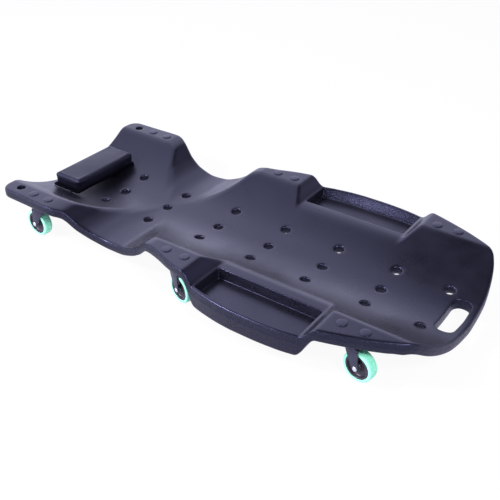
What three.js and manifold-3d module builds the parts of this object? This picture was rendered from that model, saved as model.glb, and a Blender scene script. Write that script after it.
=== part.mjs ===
import * as THREE from 'three';
import { mergeVertices } from 'three/addons/utils/BufferGeometryUtils.js';
import Module from 'manifold-3d';

// Mechanic's creeper: a blow-moulded plastic deck on six swivel casters, with a padded headrest.
// Millimetres. +X runs from the head end to the foot end, +Y to the left side, +Z up from the floor.

const wasm = await Module();
wasm.setup();

// Driving sizes of the deck.
const halfLength = 510.75;
const halfWidth = 258;
const dishDepth = 55.5;
const deckThickness = 20.5;
const footEndDrop = 3;
const edgeRadius = 6;
const undersideRadius = 4;
const creaseBlend = 7;
const headCornerRadius = 26;

// Driving sizes of the two tool trays.
const trayRimDrop = 23.5;
const trayDepth = 22.5;
const trayFloorThickness = 22.5;
const trayLip = 7;
const trayEndLip = 5;
const trayEndRamp = 20;
const trayDraft = 2;
const trayFloorFillet = 2;
const trayCornerRadius = 5;
const trayInnerWall = 9;
const trayInnerRamp = 12;

// Driving sizes of the openings in the deck.
const holeRadius = 9.2;
const holeRimWidth = 1.6;
const slotLength = 108;
const slotWidth = 38;
const slotInset = 15;
const slotCornerRadius = 15;

// Driving sizes of the headrest.
const padLength = 79;
const padWidth = 177;
const padThickness = 28;
const padCrown = 1.5;
const padSideDraw = 2.5;
const padEdgeRadius = 5;
const padCornerRadius = 6;
const boardLength = 85;
const boardWidth = 190;
const boardThickness = 3;
const boardCornerRadius = 6;
const headrestOffset = 71.5;
const screwRadius = 2.5;
const screwHeadRadius = 5;
const screwHeadHeight = 3;
const screwPocketRadius = 7;
const screwFlange = 7;

// Driving sizes of one caster and its wheel.
const wheelRadius = 31.25;
const tyreWidth = 22.4;
const tyreShoulder = 5.5;
const tyreInnerRadius = 24.5;
const hubWidth = 21;
const hubRim = 2.8;
const hubDishDepth = 5.5;
const hubBossRadius = 8.5;
const axleRadius = 4;
const axleHeadRadius = 5;
const axleHeadHeight = 2;
const trail = 20;
const plateLength = 66;
const plateWidth = 30;
const plateCornerRadius = 13;
const plateThickness = 2.5;
const raceRadius = 15;
const raceHeight = 5;
const kingpinRadius = 4.5;
const kingpinHeadRadius = 8;
const kingpinHeadHeight = 3;
const forkThickness = 2.3;
const forkCrownRadius = 16;
const forkFrontReach = 23;
const forkEndRadius = 7;
const rivetSpacing = 45.4;
const rivetRadius = 3.5;
const rivetHeadRadius = 10.9;
const rivetHeadHeight = 2.4;
const rivetTailRadius = 5;

// Fits: a seated face keeps seatGap, and a turning or threaded fit keeps runGap.
const seatGap = 0.3;
const runGap = 0.3;
const wheelTopClearance = 7.9;
const wheelSideClearance = 1.2;
const cutOverrun = 4;

// Flats round a wheel, round a hole, round a rivet and round a small turned piece.
const wheelFacets = 16;
const holeFacets = 12;
const rivetFacets = 10;
const pinFacets = 8;

// Places along the deck, as shares of halfLength and of halfWidth.
const casterStations = [
  { name: 'head', stationShare: -0.785, headingDegrees: { right: 177, left: 172 } },
  { name: 'middle', stationShare: -0.04, headingDegrees: { right: 343.3, left: 18 } },
  { name: 'foot', stationShare: 0.729, headingDegrees: { right: 351.2, left: 6 } },
];
const tabInnerShare = 0.665;
const holeRowShares = [-0.669, -0.415, -0.131, 0.128, 0.384, 0.642, 0.862];
const holeColumnShare = 0.255;
const hangHoleShare = [-0.9181, 0.748];
const trayStartShare = 0.1103;
const trayEndShare = 0.5713;
const trayInnerShare = 0.619;
const footDropShares = [0.873, 0.902];
const screwPlaceShare = 0.4;

// Height of the side wall along the deck: 1 where the caster tabs stand, 0 at the waist.
const wallShares = [
  [-0.704, 1], [-0.679, 0.965], [-0.647, 0.89], [-0.583, 0.42], [-0.511, 0.13], [-0.427, 0],
  [-0.365, 0.03], [-0.293, 0.24], [-0.246, 0.49], [-0.185, 0.95], [-0.157, 1],
];
// Side edge: half width along the deck, from the head corner to the foot corner.
const sideShares = [
  [-0.949, 0.851], [-0.829, 0.855], [-0.748, 0.861], [-0.709, 0.859], [-0.679, 0.847], [-0.647, 0.812],
  [-0.583, 0.765], [-0.511, 0.73], [-0.427, 0.714], [-0.365, 0.719], [-0.293, 0.735], [-0.246, 0.746],
  [-0.185, 0.784], [-0.109, 0.824], [-0.036, 0.875], [0.031, 0.91], [0.092, 0.93], [0.16, 0.963],
  [0.26, 0.993], [0.328, 1], [0.397, 0.998], [0.5, 0.984], [0.564, 0.962], [0.618, 0.936], [0.664, 0.91],
  [0.729, 0.868], [0.802, 0.815], [0.862, 0.762], [0.913, 0.709], [0.944, 0.646],
];
// Foot edge: how far the end reaches, from the middle of the deck to the foot corner.
const footShares = [[0, 1], [0.28, 0.993], [0.391, 0.985], [0.508, 0.972], [0.579, 0.96], [0.646, 0.942]];

// Grid of the deck: rows along it as shares of halfLength, columns from the middle to the dish wall.
const headRowShares = [
  -0.965, -0.949, -0.858, -0.785, -0.724, -0.689, -0.659, -0.629, -0.599, -0.565, -0.52, -0.465, -0.401,
  -0.341, -0.296, -0.261, -0.226, -0.192, -0.157, -0.082, -0.013, 0.035,
];
const footRowShares = [0.656, 0.729, 0.793, 0.853, 0.883, 0.913, 0.932];
const dishColumnShares = [0, 0.24, 0.47, 0.68, 0.85];
const cornerFadeShare = 0.12;

// Side view of a fork leg: reach as a share of the trail, height as a share of the way up to the crown.
const legFrontShares = [[-0.52, 1], [-0.49, 0.76], [-0.375, 0.53], [-0.105, 0.27]];
const legRearShares = [[1.2, 0.59], [1.15, 0.94]];
// Rivet head and axle end: radius as a share of the head's, height as a share of its rise.
const domeShares = [[1, 0], [0.92, 0.45], [0.55, 0.9]];
// Tyre section: shares of the shoulder, in from the tread and in from the side face.
const tyreShares = [[0.7, 0], [0.15, 0.4], [0, 1]];
const tyreSideDrawShare = 0.12;
const hubWebShare = 0.5;
const raceWaistShare = 0.35;
const kingpinDomeShare = 0.7;
const rivetTailShare = 0.5;
const crownRingShares = [0.66, 0.33];

const materials = {
  deck: new THREE.MeshStandardMaterial({ color: 0x3a3a48, roughness: 0.45, metalness: 0 }),
  pad: new THREE.MeshStandardMaterial({ color: 0x2c2c38, roughness: 0.6, metalness: 0 }),
  board: new THREE.MeshStandardMaterial({ color: 0x15151b, roughness: 0.7, metalness: 0 }),
  hub: new THREE.MeshStandardMaterial({ color: 0x23232e, roughness: 0.4, metalness: 0 }),
  tyre: new THREE.MeshStandardMaterial({ color: 0x8af0be, roughness: 0.5, metalness: 0 }),
  steel: new THREE.MeshStandardMaterial({ color: 0x45464e, roughness: 0.45, metalness: 0.6 }),
  zinc: new THREE.MeshStandardMaterial({ color: 0xd8dade, roughness: 0.25, metalness: 0.9 }),
};

const { lerp } = THREE.MathUtils;
const roundShare = 1 - Math.SQRT1_2;

// Heights from the floor up: wheel, fork crown, swivel race, mounting plate and caster tab.
const axleHeight = wheelRadius * Math.cos(Math.PI / wheelFacets);
const crownBottom = axleHeight + wheelRadius + wheelTopClearance;
const crownTop = crownBottom + forkThickness;
const raceBottom = crownTop + runGap;
const raceTop = raceBottom + raceHeight;
const plateBottom = raceTop + seatGap;
const plateTop = plateBottom + plateThickness;
const tabHeight = plateTop + seatGap + deckThickness;
const deckHeight = tabHeight - dishDepth;
const trayRimHeight = tabHeight - trayRimDrop;
const trayFloorHeight = trayRimHeight - trayDepth;
const trayUndersideHeight = trayFloorHeight - trayFloorThickness;
const legInner = tyreWidth / 2 + wheelSideClearance;
const legOuter = legInner + forkThickness;

// The dish is a circular arc that meets the caster tabs at tabInner.
const tabInner = tabInnerShare * halfWidth;
const dishRadius = (tabInner ** 2 + dishDepth ** 2) / (2 * dishDepth);
const trayStart = trayStartShare * halfLength;
const trayEnd = trayEndShare * halfLength;
const trayInner = trayInnerShare * halfWidth;

// Value at t of a smooth curve through the points of a table, with no overshoot between them.
function follow(table, t) {
  const last = table.length - 1;
  if (t <= table[0][0]) return table[0][1];
  if (t >= table[last][0]) return table[last][1];
  const slope = (i) => (table[i + 1][1] - table[i][1]) / (table[i + 1][0] - table[i][0]);
  const tangent = (i) => {
    if (i === 0 || i === last) return slope(Math.min(i, last - 1));
    const before = slope(i - 1);
    const after = slope(i);
    return before * after <= 0 ? 0 : (2 * before * after) / (before + after);
  };
  let i = 0;
  while (t > table[i + 1][0]) i += 1;
  const width = table[i + 1][0] - table[i][0];
  const s = (t - table[i][0]) / width;
  const rise = s * s * (3 - 2 * s);
  const bend = tangent(i) * s * (1 - s) * (1 - s) - tangent(i + 1) * s * s * (1 - s);
  return table[i][1] + (table[i + 1][1] - table[i][1]) * rise + width * bend;
}

const softMin = (a, b, blend) => {
  const near = Math.max(blend - Math.abs(a - b), 0) / blend;
  return Math.min(a, b) - (near * near * blend) / 4;
};
const ramp = (from, to, t) => Math.min(1, Math.max(0, (t - from) / (to - from)));

function headEdge(y) {
  const centre = sideShares[0][1] * halfWidth - headCornerRadius;
  const out = Math.min(headCornerRadius, Math.max(0, Math.abs(y) - centre));
  return -halfLength + headCornerRadius - Math.sqrt(headCornerRadius ** 2 - out ** 2);
}

function footEdge(y) {
  return follow(footShares, Math.abs(y) / halfWidth) * halfLength;
}

function sideEdge(x) {
  const rounded = -halfLength + headCornerRadius;
  const side = follow(sideShares, x / halfLength) * halfWidth;
  if (x >= rounded) return side;
  return side - headCornerRadius + Math.sqrt(headCornerRadius ** 2 - (x - rounded) ** 2);
}

const dishRise = (y) => dishRadius - Math.sqrt(dishRadius ** 2 - y ** 2);
const reachOfRise = (rise) => Math.sqrt(dishRadius ** 2 - (dishRadius - rise) ** 2);
const wallShare = (x) => follow(wallShares, x / halfLength);

// 1 over a tray and 0 away from it, with a sloped end towards each caster tab.
const rampLow = trayStart - trayEndLip;
const rampHigh = trayEnd + trayEndLip;
function overTray(x) {
  return ramp(rampLow - trayEndRamp, rampLow, x) * (1 - ramp(rampHigh, rampHigh + trayEndRamp, x));
}

const capRise = (x) => dishDepth - trayRimDrop * overTray(x);

function topHeight(x, y) {
  return deckHeight + wallShare(x) * softMin(dishRise(y), capRise(x), creaseBlend);
}

function undersideHeight(x, y) {
  const drop = footEndDrop * ramp(footDropShares[0] * halfLength, footDropShares[1] * halfLength, x);
  const rise = wallShare(x) * softMin(dishRise(y), dishDepth, creaseBlend) - drop;
  const inner = trayInner - trayInnerWall;
  const block = overTray(x) * ramp(inner - trayInnerRamp, inner, Math.abs(y));
  return lerp(deckHeight - deckThickness + rise, trayUndersideHeight, block);
}

// Solid from a closed geometry, and the geometry of a solid.
function toSolid(geometry) {
  const bare = geometry.clone();
  bare.deleteAttribute('normal');
  bare.deleteAttribute('uv');
  const merged = mergeVertices(bare);
  const triVerts = [];
  for (let i = 0; i < merged.index.count; i += 3) {
    const corners = [0, 1, 2].map((k) => merged.index.getX(i + k));
    if (new Set(corners).size === 3) triVerts.push(...corners);
  }
  return new wasm.Manifold(new wasm.Mesh({
    numProp: 3,
    vertProperties: new Float32Array(merged.attributes.position.array),
    triVerts: new Uint32Array(triVerts),
  }));
}

function toGeometry(solid) {
  const mesh = solid.getMesh();
  const geometry = new THREE.BufferGeometry();
  geometry.setAttribute('position', new THREE.BufferAttribute(new Float32Array(mesh.vertProperties), 3));
  geometry.setIndex(new THREE.BufferAttribute(new Uint32Array(mesh.triVerts), 1));
  geometry.computeVertexNormals();
  return geometry;
}

function indexed(positions, indices) {
  const geometry = new THREE.BufferGeometry();
  geometry.setAttribute('position', new THREE.BufferAttribute(new Float32Array(positions), 3));
  geometry.setIndex(indices);
  geometry.computeVertexNormals();
  return geometry;
}

// Turned piece on the Z axis, from a profile of [radius, height] points that rises on its outside.
function turned(profile, facets, onAxis = true) {
  const points = profile.map(([radius, height]) => new THREE.Vector2(radius, height));
  if (!onAxis) points.push(points[0].clone());
  return new THREE.LatheGeometry(points, facets).rotateX(Math.PI / 2);
}

function cylinder(radius, low, high, facets) {
  return turned([[0, low], [radius, low], [radius, high], [0, high]], facets);
}

function roundedPlate(length, width, radius, bottom, thickness) {
  const shape = new THREE.Shape();
  const x = length / 2 - radius;
  const y = width / 2 - radius;
  shape.moveTo(x, -y - radius);
  shape.absarc(x, -y, radius, -Math.PI / 2, 0, false);
  shape.absarc(x, y, radius, 0, Math.PI / 2, false);
  shape.absarc(-x, y, radius, Math.PI / 2, Math.PI, false);
  shape.absarc(-x, -y, radius, Math.PI, Math.PI * 1.5, false);
  const extrude = { depth: thickness, bevelEnabled: false, curveSegments: 3 };
  return new THREE.ExtrudeGeometry(shape, extrude).translate(0, 0, bottom);
}

// Points of a quarter circle that starts at the given number of quarter turns.
function quarterArc(x, y, radius, quarter, steps) {
  const points = [];
  for (let i = 0; i <= steps; i += 1) {
    const turn = ((quarter + i / steps) * Math.PI) / 2;
    points.push([x + radius * Math.cos(turn), y + radius * Math.sin(turn)]);
  }
  return points;
}

// The corner where the head edge's arc meets the side edge, halfway round it.
function headCorner() {
  const side = sideShares[0][1] * halfWidth;
  return [-halfLength + headCornerRadius * roundShare, side - headCornerRadius * roundShare];
}

function gridRows() {
  const low = rampLow - trayEndRamp;
  const high = rampHigh + trayEndRamp;
  const lead = headRowShares.map((share) => share * halfLength).filter((x) => x < low);
  const tail = footRowShares.map((share) => share * halfLength).filter((x) => x > high);
  const along = [1, 2, 3, 4].map((i) => lerp(rampLow, rampHigh, i / 5));
  const last = sideShares[sideShares.length - 1][0] * halfLength;
  const ramps = [[low, lerp(low, rampLow, 1 / 2), rampLow], [rampHigh, lerp(rampHigh, high, 1 / 2), high]];
  return [headCorner()[0], ...lead, ...ramps[0], ...along, ...ramps[1], ...tail, last];
}

// Grid columns on one side of the middle: on the top they follow the dish wall's crest, and
// under the deck they follow the inner side of the tray.
function topColumns(x) {
  const crest = [-creaseBlend, 0, creaseBlend].map((blend) => reachOfRise(capRise(x) + blend));
  return [...dishColumnShares.map((share) => share * crest[0]), ...crest];
}

function undersideColumns(x) {
  if (overTray(x) === 0) return topColumns(x);
  const wall = trayInner - trayInnerWall;
  const foot = wall - trayInnerRamp;
  return [...dishColumnShares.map((share) => share * foot), foot, wall, lerp(wall, sideEdge(x), 1 / 2)];
}

// Places of the deck's grid points in plan. The first and last rows bend to the end edges.
function deckPlan(columnsAt) {
  const rows = gridRows();
  const first = rows[0];
  const last = rows[rows.length - 1];
  const fade = cornerFadeShare * halfLength;
  return rows.map((x) => {
    const side = sideEdge(x);
    const half = columnsAt(x);
    const narrow = Math.min(1, (side - 2 * edgeRadius) / half[half.length - 1]);
    const columns = half.map((y) => y * narrow);
    return [-side, ...columns.slice(1).map((y) => -y).reverse(), ...columns, side].map((y) => {
      const head = headEdge(Math.min(Math.abs(y), headCorner()[1])) - first;
      const foot = footEdge(Math.min(Math.abs(y), sideEdge(last))) - last;
      return [x + head * (1 - ramp(0, fade, x - first)) + foot * ramp(last - fade, last, x), y];
    });
  });
}

// Closed loop of grid positions round the border of the plan.
function borderLoop(rows, columns) {
  const loop = [];
  for (let j = 0; j < columns - 1; j += 1) loop.push([0, j]);
  for (let i = 0; i < rows - 1; i += 1) loop.push([i, columns - 1]);
  for (let j = columns - 1; j > 0; j -= 1) loop.push([rows - 1, j]);
  for (let i = rows - 1; i > 0; i -= 1) loop.push([i, 0]);
  return loop;
}

// Places round a border, drawn in square to it by an inset.
function drawIn(edge, inset) {
  return edge.map(([x, y], k) => {
    const before = edge[(k + edge.length - 1) % edge.length];
    const after = edge[(k + 1) % edge.length];
    const along = new THREE.Vector2(after[0] - before[0], after[1] - before[1]).normalize();
    return [x + along.y * inset, y - along.x * inset];
  });
}

// The deck without its openings: a dished top skin and an underside, joined by a rounded edge.
function deckBlank() {
  const topPlan = deckPlan(topColumns);
  const rows = topPlan.length;
  const columns = topPlan[0].length;
  const loop = borderLoop(rows, columns);
  const edge = loop.map(([i, j]) => topPlan[i][j]);
  const positions = [];
  const indices = [];
  const addPoint = (x, y, z) => positions.push(x, y, z) / 3 - 1;
  const gridOf = (plan, height, inset) => {
    const drawn = drawIn(edge, inset);
    loop.forEach(([i, j], k) => { plan[i][j] = drawn[k]; });
    return plan.map((row) => row.map(([x, y]) => addPoint(x, y, height(x, y))));
  };
  const top = gridOf(deckPlan(topColumns), topHeight, edgeRadius);
  const under = gridOf(deckPlan(undersideColumns), undersideHeight, undersideRadius);
  for (let i = 0; i < rows - 1; i += 1) {
    for (let j = 0; j < columns - 1; j += 1) {
      const quad = (grid) => [grid[i][j], grid[i + 1][j], grid[i + 1][j + 1], grid[i][j + 1]];
      const [a, b, c, d] = quad(top);
      const [p, q, r, s] = quad(under);
      const left = j >= (columns - 1) / 2;
      indices.push(...(left ? [a, b, c, a, c, d] : [a, b, d, b, c, d]));
      indices.push(...(left ? [p, r, q, p, s, r] : [p, s, q, q, s, r]));
    }
  }
  const topInset = drawIn(edge, edgeRadius);
  const underInset = drawIn(edge, undersideRadius);
  const ringOf = (inset, heightOf) => drawIn(edge, inset).map(([x, y], k) => addPoint(x, y, heightOf(k)));
  const topAt = (k) => topHeight(...topInset[k]);
  const underAt = (k) => undersideHeight(...underInset[k]);
  const rings = [
    loop.map(([i, j]) => top[i][j]),
    ringOf(edgeRadius * roundShare, (k) => topAt(k) - edgeRadius * roundShare),
    ringOf(0, (k) => topAt(k) - edgeRadius),
    ringOf(0, (k) => underAt(k) + undersideRadius),
    loop.map(([i, j]) => under[i][j]),
  ];
  for (let n = 0; n < rings.length - 1; n += 1) {
    for (let k = 0; k < loop.length; k += 1) {
      const next = (k + 1) % loop.length;
      const [a, b] = [rings[n][k], rings[n][next]];
      const [c, d] = [rings[n + 1][next], rings[n + 1][k]];
      indices.push(a, b, c, a, c, d);
    }
  }
  return toSolid(indexed(positions, indices));
}

// A through-hole with a chamfered rim.
function holeCutter([x, y]) {
  const top = topHeight(x, y);
  const low = undersideHeight(x, y) - cutOverrun;
  const profile = [
    [0, low], [holeRadius, low], [holeRadius, top - holeRimWidth],
    [holeRadius + holeRimWidth + cutOverrun, top + cutOverrun], [0, top + cutOverrun],
  ];
  return toSolid(turned(profile, holeFacets).translate(x, y, 0));
}

function holePlaces() {
  const places = [];
  const outer = holeColumnShare * halfWidth;
  holeRowShares.forEach((share, row) => {
    const x = share * halfLength;
    places.push([x, -outer], [x, outer]);
    if (row < holeRowShares.length - 1) places.push([x, 0]);
  });
  const [along, across] = hangHoleShare;
  places.push([along * halfLength, -across * halfWidth], [along * halfLength, across * halfWidth]);
  return places;
}

// The hand slot: its foot side follows the foot edge, slotInset inside it.
function slotCutter() {
  const straight = slotLength / 2 - slotCornerRadius;
  const footSide = (y) => footEdge(y) - slotInset;
  const headSide = halfLength - slotInset - slotWidth;
  const far = footSide(straight) - slotCornerRadius;
  const near = headSide + slotCornerRadius;
  const outline = [...quarterArc(far, -straight, slotCornerRadius, 3, 3)];
  for (let i = 1; i < 4; i += 1) {
    const y = lerp(-straight, straight, i / 4);
    outline.push([footSide(y), y]);
  }
  outline.push(...quarterArc(far, straight, slotCornerRadius, 0, 3));
  outline.push(...quarterArc(near, straight, slotCornerRadius, 1, 3));
  outline.push(...quarterArc(near, -straight, slotCornerRadius, 2, 3));
  const low = deckHeight - deckThickness - footEndDrop - cutOverrun;
  const shape = new THREE.Shape(outline.map(([x, y]) => new THREE.Vector2(x, y)));
  const extrude = { depth: tabHeight - low, bevelEnabled: false };
  return toSolid(new THREE.ExtrudeGeometry(shape, extrude).translate(0, 0, low));
}

// Outline of a tray pocket on the left side, drawn in by the given inset, with rounded corners.
function pocketOutline(inset) {
  const inner = trayInner + inset + trayCornerRadius;
  const outer = (x) => sideEdge(x) - trayLip - inset;
  const near = trayStart + inset + trayCornerRadius;
  const far = trayEnd - inset - trayCornerRadius;
  const corner = (x, y, quarter) => quarterArc(x, y, trayCornerRadius, quarter, 2);
  const points = [...corner(near, inner, 2), ...corner(far, inner, 3)];
  points.push(...corner(far, outer(far) - trayCornerRadius, 0));
  for (let i = 5; i > 0; i -= 1) {
    const x = lerp(near, far, i / 6);
    points.push([x, outer(x)]);
  }
  points.push(...corner(near, outer(near) - trayCornerRadius, 1));
  return points;
}

function pocketCutter(side) {
  const levels = [
    [trayFloorHeight, trayDraft + trayFloorFillet], [trayFloorHeight + trayFloorFillet, trayDraft],
    [trayRimHeight, 0], [tabHeight, 0],
  ];
  const rings = levels.map(([height, inset]) => pocketOutline(inset).map(([x, y]) => [x, y, height]));
  const count = rings[0].length;
  const positions = rings.flat(2);
  const indices = [];
  for (let n = 0; n < rings.length - 1; n += 1) {
    for (let k = 0; k < count; k += 1) {
      const next = (k + 1) % count;
      const [a, b, c, d] = [n * count + k, n * count + next, (n + 1) * count + next, (n + 1) * count + k];
      indices.push(a, b, c, a, c, d);
    }
  }
  const cap = THREE.ShapeUtils.triangulateShape(rings[0].map(([x, y]) => new THREE.Vector2(x, y)), []);
  const topBase = (rings.length - 1) * count;
  cap.forEach(([a, b, c]) => indices.push(a, c, b, topBase + a, topBase + b, topBase + c));
  if (side < 0) {
    for (let i = 1; i < positions.length; i += 3) positions[i] *= -1;
    for (let i = 0; i < indices.length; i += 3) [indices[i], indices[i + 1]] = [indices[i + 1], indices[i]];
  }
  return toSolid(indexed(positions, indices));
}

// Swivel axis of each caster on the floor plan, and the way its wheel trails. The plate lies
// under the flat of its tab.
const tabFlat = reachOfRise(dishDepth + creaseBlend);
const casters = casterStations.flatMap(({ name, stationShare, headingDegrees }) => ['right', 'left'].map((side) => ({
  name: `${name}_${side}`,
  x: stationShare * halfLength,
  y: (side === 'left' ? 1 : -1) * (tabFlat + plateWidth / 2),
  heading: THREE.MathUtils.degToRad(headingDegrees[side]),
})));
const rivetPlaces = (caster) => [-1, 1].map((end) => [caster.x + (end * rivetSpacing) / 2, caster.y]);

// Height of the deck's flats at a place between two of its top columns.
function flatHeight(x, y) {
  const columns = topColumns(x);
  const next = columns.findIndex((column) => column > y);
  const [low, high] = [columns[next - 1], columns[next]];
  return lerp(topHeight(x, low), topHeight(x, high), (y - low) / (high - low));
}

// Headrest: the board's ends rest on the dish walls, and its screws come up near them.
const padCentre = -halfLength + headrestOffset;
const boardHeight = flatHeight(padCentre, boardWidth / 2) + seatGap;
const screwPlaces = [-1, 1].map((side) => [padCentre, side * screwPlaceShare * boardWidth]);

function deckGeometry() {
  const cutters = [slotCutter(), pocketCutter(1), pocketCutter(-1), ...holePlaces().map(holeCutter)];
  casters.forEach((caster) => rivetPlaces(caster).forEach(([x, y]) => {
    const low = tabHeight - deckThickness - cutOverrun;
    const bore = cylinder(rivetRadius + runGap, low, tabHeight + cutOverrun, pinFacets);
    cutters.push(toSolid(bore.translate(x, y, 0)));
  }));
  screwPlaces.forEach(([x, y]) => {
    const low = undersideHeight(x, y) - cutOverrun;
    const top = topHeight(x, y);
    const bore = cylinder(screwRadius + runGap, low, top + cutOverrun, pinFacets);
    const pocket = cylinder(screwPocketRadius, low, top - screwFlange, holeFacets);
    cutters.push(toSolid(bore.translate(x, y, 0)), toSolid(pocket.translate(x, y, 0)));
  });
  return toGeometry(deckBlank().subtract(wasm.Manifold.union(cutters)));
}

// Outline of the pad, drawn in by an inset, with the same points round it at every height.
function padOutline(inset, scale) {
  const x = padLength / 2 - inset - padCornerRadius;
  const y = padWidth / 2 - inset - padCornerRadius;
  const corner = (cx, cy, quarter) => quarterArc(cx, cy, padCornerRadius, quarter, 2);
  const points = [...corner(x, y, 0), [0, y + padCornerRadius], ...corner(-x, y, 1)];
  [0.5, 0, -0.5].forEach((share) => points.push([-x - padCornerRadius, share * y]));
  points.push(...corner(-x, -y, 2), [0, -y - padCornerRadius], ...corner(x, -y, 3));
  [-0.5, 0, 0.5].forEach((share) => points.push([x + padCornerRadius, share * y]));
  return points.map(([px, py]) => [px * scale, py * scale]);
}

// The pad: a block with a crowned top, rounded upper edges and sides drawn in at mid height.
function padGeometry() {
  const bottom = boardHeight + boardThickness + seatGap;
  const levels = [
    [0, padSideDraw / 2, 1, 0], [padThickness / 2, padSideDraw, 1, 0], [padThickness - padEdgeRadius, 0, 1, 0],
    [padThickness - padEdgeRadius * roundShare, padEdgeRadius * roundShare, 1, 0],
    [padThickness, padEdgeRadius, 1, 0],
  ];
  crownRingShares.forEach((share) => levels.push([padThickness, padEdgeRadius, share, padCrown * (1 - share ** 2)]));
  const positions = [];
  const indices = [];
  const addPoint = (x, y, z) => positions.push(padCentre + x, y, bottom + z) / 3 - 1;
  const rings = levels.map(([height, inset, scale, crown]) => padOutline(inset, scale)
    .map(([x, y]) => addPoint(x, y, height + crown)));
  for (let n = 0; n < rings.length - 1; n += 1) {
    rings[n].forEach((a, k) => {
      const next = (k + 1) % rings[n].length;
      indices.push(a, rings[n][next], rings[n + 1][next], a, rings[n + 1][next], rings[n + 1][k]);
    });
  }
  const close = (ring, z, up) => {
    const centre = addPoint(0, 0, z);
    ring.forEach((a, k) => {
      const b = ring[(k + 1) % ring.length];
      indices.push(...(up ? [a, b, centre] : [b, a, centre]));
    });
  };
  close(rings[0], 0, false);
  close(rings[rings.length - 1], padThickness + padCrown, true);
  return indexed(positions, indices);
}

function boardGeometry() {
  let board = toSolid(roundedPlate(boardLength, boardWidth, boardCornerRadius, boardHeight, boardThickness));
  screwPlaces.forEach(([x, y]) => {
    const bore = cylinder(screwRadius + runGap, boardHeight - cutOverrun, boardHeight + cutOverrun, pinFacets);
    board = board.subtract(toSolid(bore.translate(x - padCentre, y, 0)));
  });
  return toGeometry(board).translate(padCentre, 0, 0);
}

// Screw that comes up through the deck's underside into the headrest board.
function screwGeometry([x, y]) {
  const seat = topHeight(x, y) - screwFlange - seatGap;
  const tip = boardHeight + boardThickness;
  const profile = [
    [0, seat - screwHeadHeight], [screwHeadRadius, seat - screwHeadHeight], [screwHeadRadius, seat],
    [screwRadius, seat], [screwRadius, tip], [0, tip],
  ];
  return turned(profile, pinFacets).translate(x, y, 0);
}

function plateGeometry() {
  let plate = toSolid(roundedPlate(plateLength, plateWidth, plateCornerRadius, plateBottom, plateThickness));
  const bores = [[0, kingpinRadius], [-rivetSpacing / 2, rivetRadius], [rivetSpacing / 2, rivetRadius]];
  bores.forEach(([x, radius]) => {
    const bore = cylinder(radius + runGap, plateBottom - cutOverrun, plateTop + cutOverrun, pinFacets);
    plate = plate.subtract(toSolid(bore.translate(x, 0, 0)));
  });
  return toGeometry(plate);
}

function raceGeometry() {
  const inner = kingpinRadius + runGap;
  const waist = raceHeight * raceWaistShare;
  return turned([
    [inner, raceBottom], [raceRadius - waist, raceBottom], [raceRadius, raceBottom + waist], [raceRadius, raceTop],
    [inner, raceTop],
  ], holeFacets, false);
}

function kingpinGeometry() {
  const head = crownBottom - seatGap;
  const low = head - kingpinHeadHeight;
  return turned([
    [0, low], [kingpinHeadRadius * kingpinDomeShare, low], [kingpinHeadRadius, head - kingpinHeadHeight / 2],
    [kingpinHeadRadius, head], [kingpinRadius, head], [kingpinRadius, plateTop], [0, plateTop],
  ], pinFacets);
}

function legOutline() {
  const place = ([reach, height]) => [reach * trail, lerp(axleHeight, crownTop, height)];
  const points = legFrontShares.map(place);
  const [start, end] = [Math.PI * 1.1, Math.PI * 2.05];
  for (let i = 0; i <= 4; i += 1) {
    const turn = lerp(start, end, i / 4);
    points.push([trail + forkEndRadius * Math.cos(turn), axleHeight + forkEndRadius * Math.sin(turn)]);
  }
  return [...points, ...legRearShares.map(place), [forkFrontReach, crownTop]];
}

// The fork: a crown plate round the kingpin, with a leg each side of the wheel.
function forkGeometry() {
  const legShape = new THREE.Shape(legOutline().map(([x, z]) => new THREE.Vector2(x, z)));
  const leg = new THREE.ExtrudeGeometry(legShape, { depth: forkThickness, bevelEnabled: false });
  leg.rotateX(Math.PI / 2);
  const crownShape = new THREE.Shape();
  const reach = Math.asin(Math.min(1, legOuter / forkCrownRadius));
  crownShape.moveTo(forkFrontReach, -legOuter);
  crownShape.lineTo(forkFrontReach, legOuter);
  crownShape.lineTo(0, legOuter);
  crownShape.absarc(0, 0, forkCrownRadius, Math.PI - reach, Math.PI + reach, false);
  crownShape.lineTo(0, -legOuter);
  const extrude = { depth: forkThickness, bevelEnabled: false, curveSegments: 8 };
  const crown = new THREE.ExtrudeGeometry(crownShape, extrude);
  let fork = toSolid(crown.translate(0, 0, crownBottom));
  fork = fork.add(toSolid(leg.clone().translate(0, legOuter, 0)));
  fork = fork.add(toSolid(leg.clone().translate(0, -legInner, 0)));
  const kingpinBore = cylinder(kingpinRadius + runGap, crownBottom - cutOverrun, crownTop + cutOverrun, holeFacets);
  const axleBore = cylinder(axleRadius + runGap, -legOuter - cutOverrun, legOuter + cutOverrun, pinFacets);
  fork = fork.subtract(toSolid(kingpinBore));
  fork = fork.subtract(toSolid(axleBore.rotateX(Math.PI / 2).translate(trail, 0, axleHeight)));
  return toGeometry(fork);
}

// Turned piece on the Y axis, the same at both ends, from one end's [radius, distance out] points.
function turnedAcross(half, facets, onAxis) {
  const points = [...half.map(([radius, out]) => [radius, -out]), ...half.slice().reverse()];
  if (!onAxis) points.push(points[0]);
  return new THREE.LatheGeometry(points.map(([radius, y]) => new THREE.Vector2(radius, y)), facets);
}

// Axle: a shank with a domed head at each end.
function axleGeometry() {
  const seat = legOuter + seatGap;
  const dome = domeShares.map(([radius, rise]) => [axleHeadRadius * radius, seat + axleHeadHeight * rise]);
  return turnedAcross([[0, seat + axleHeadHeight], ...dome.reverse(), [axleRadius, seat]], pinFacets, true);
}

const wheelPiece = (half) => turnedAcross(half, wheelFacets, false).rotateY(Math.PI / wheelFacets);

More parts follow.
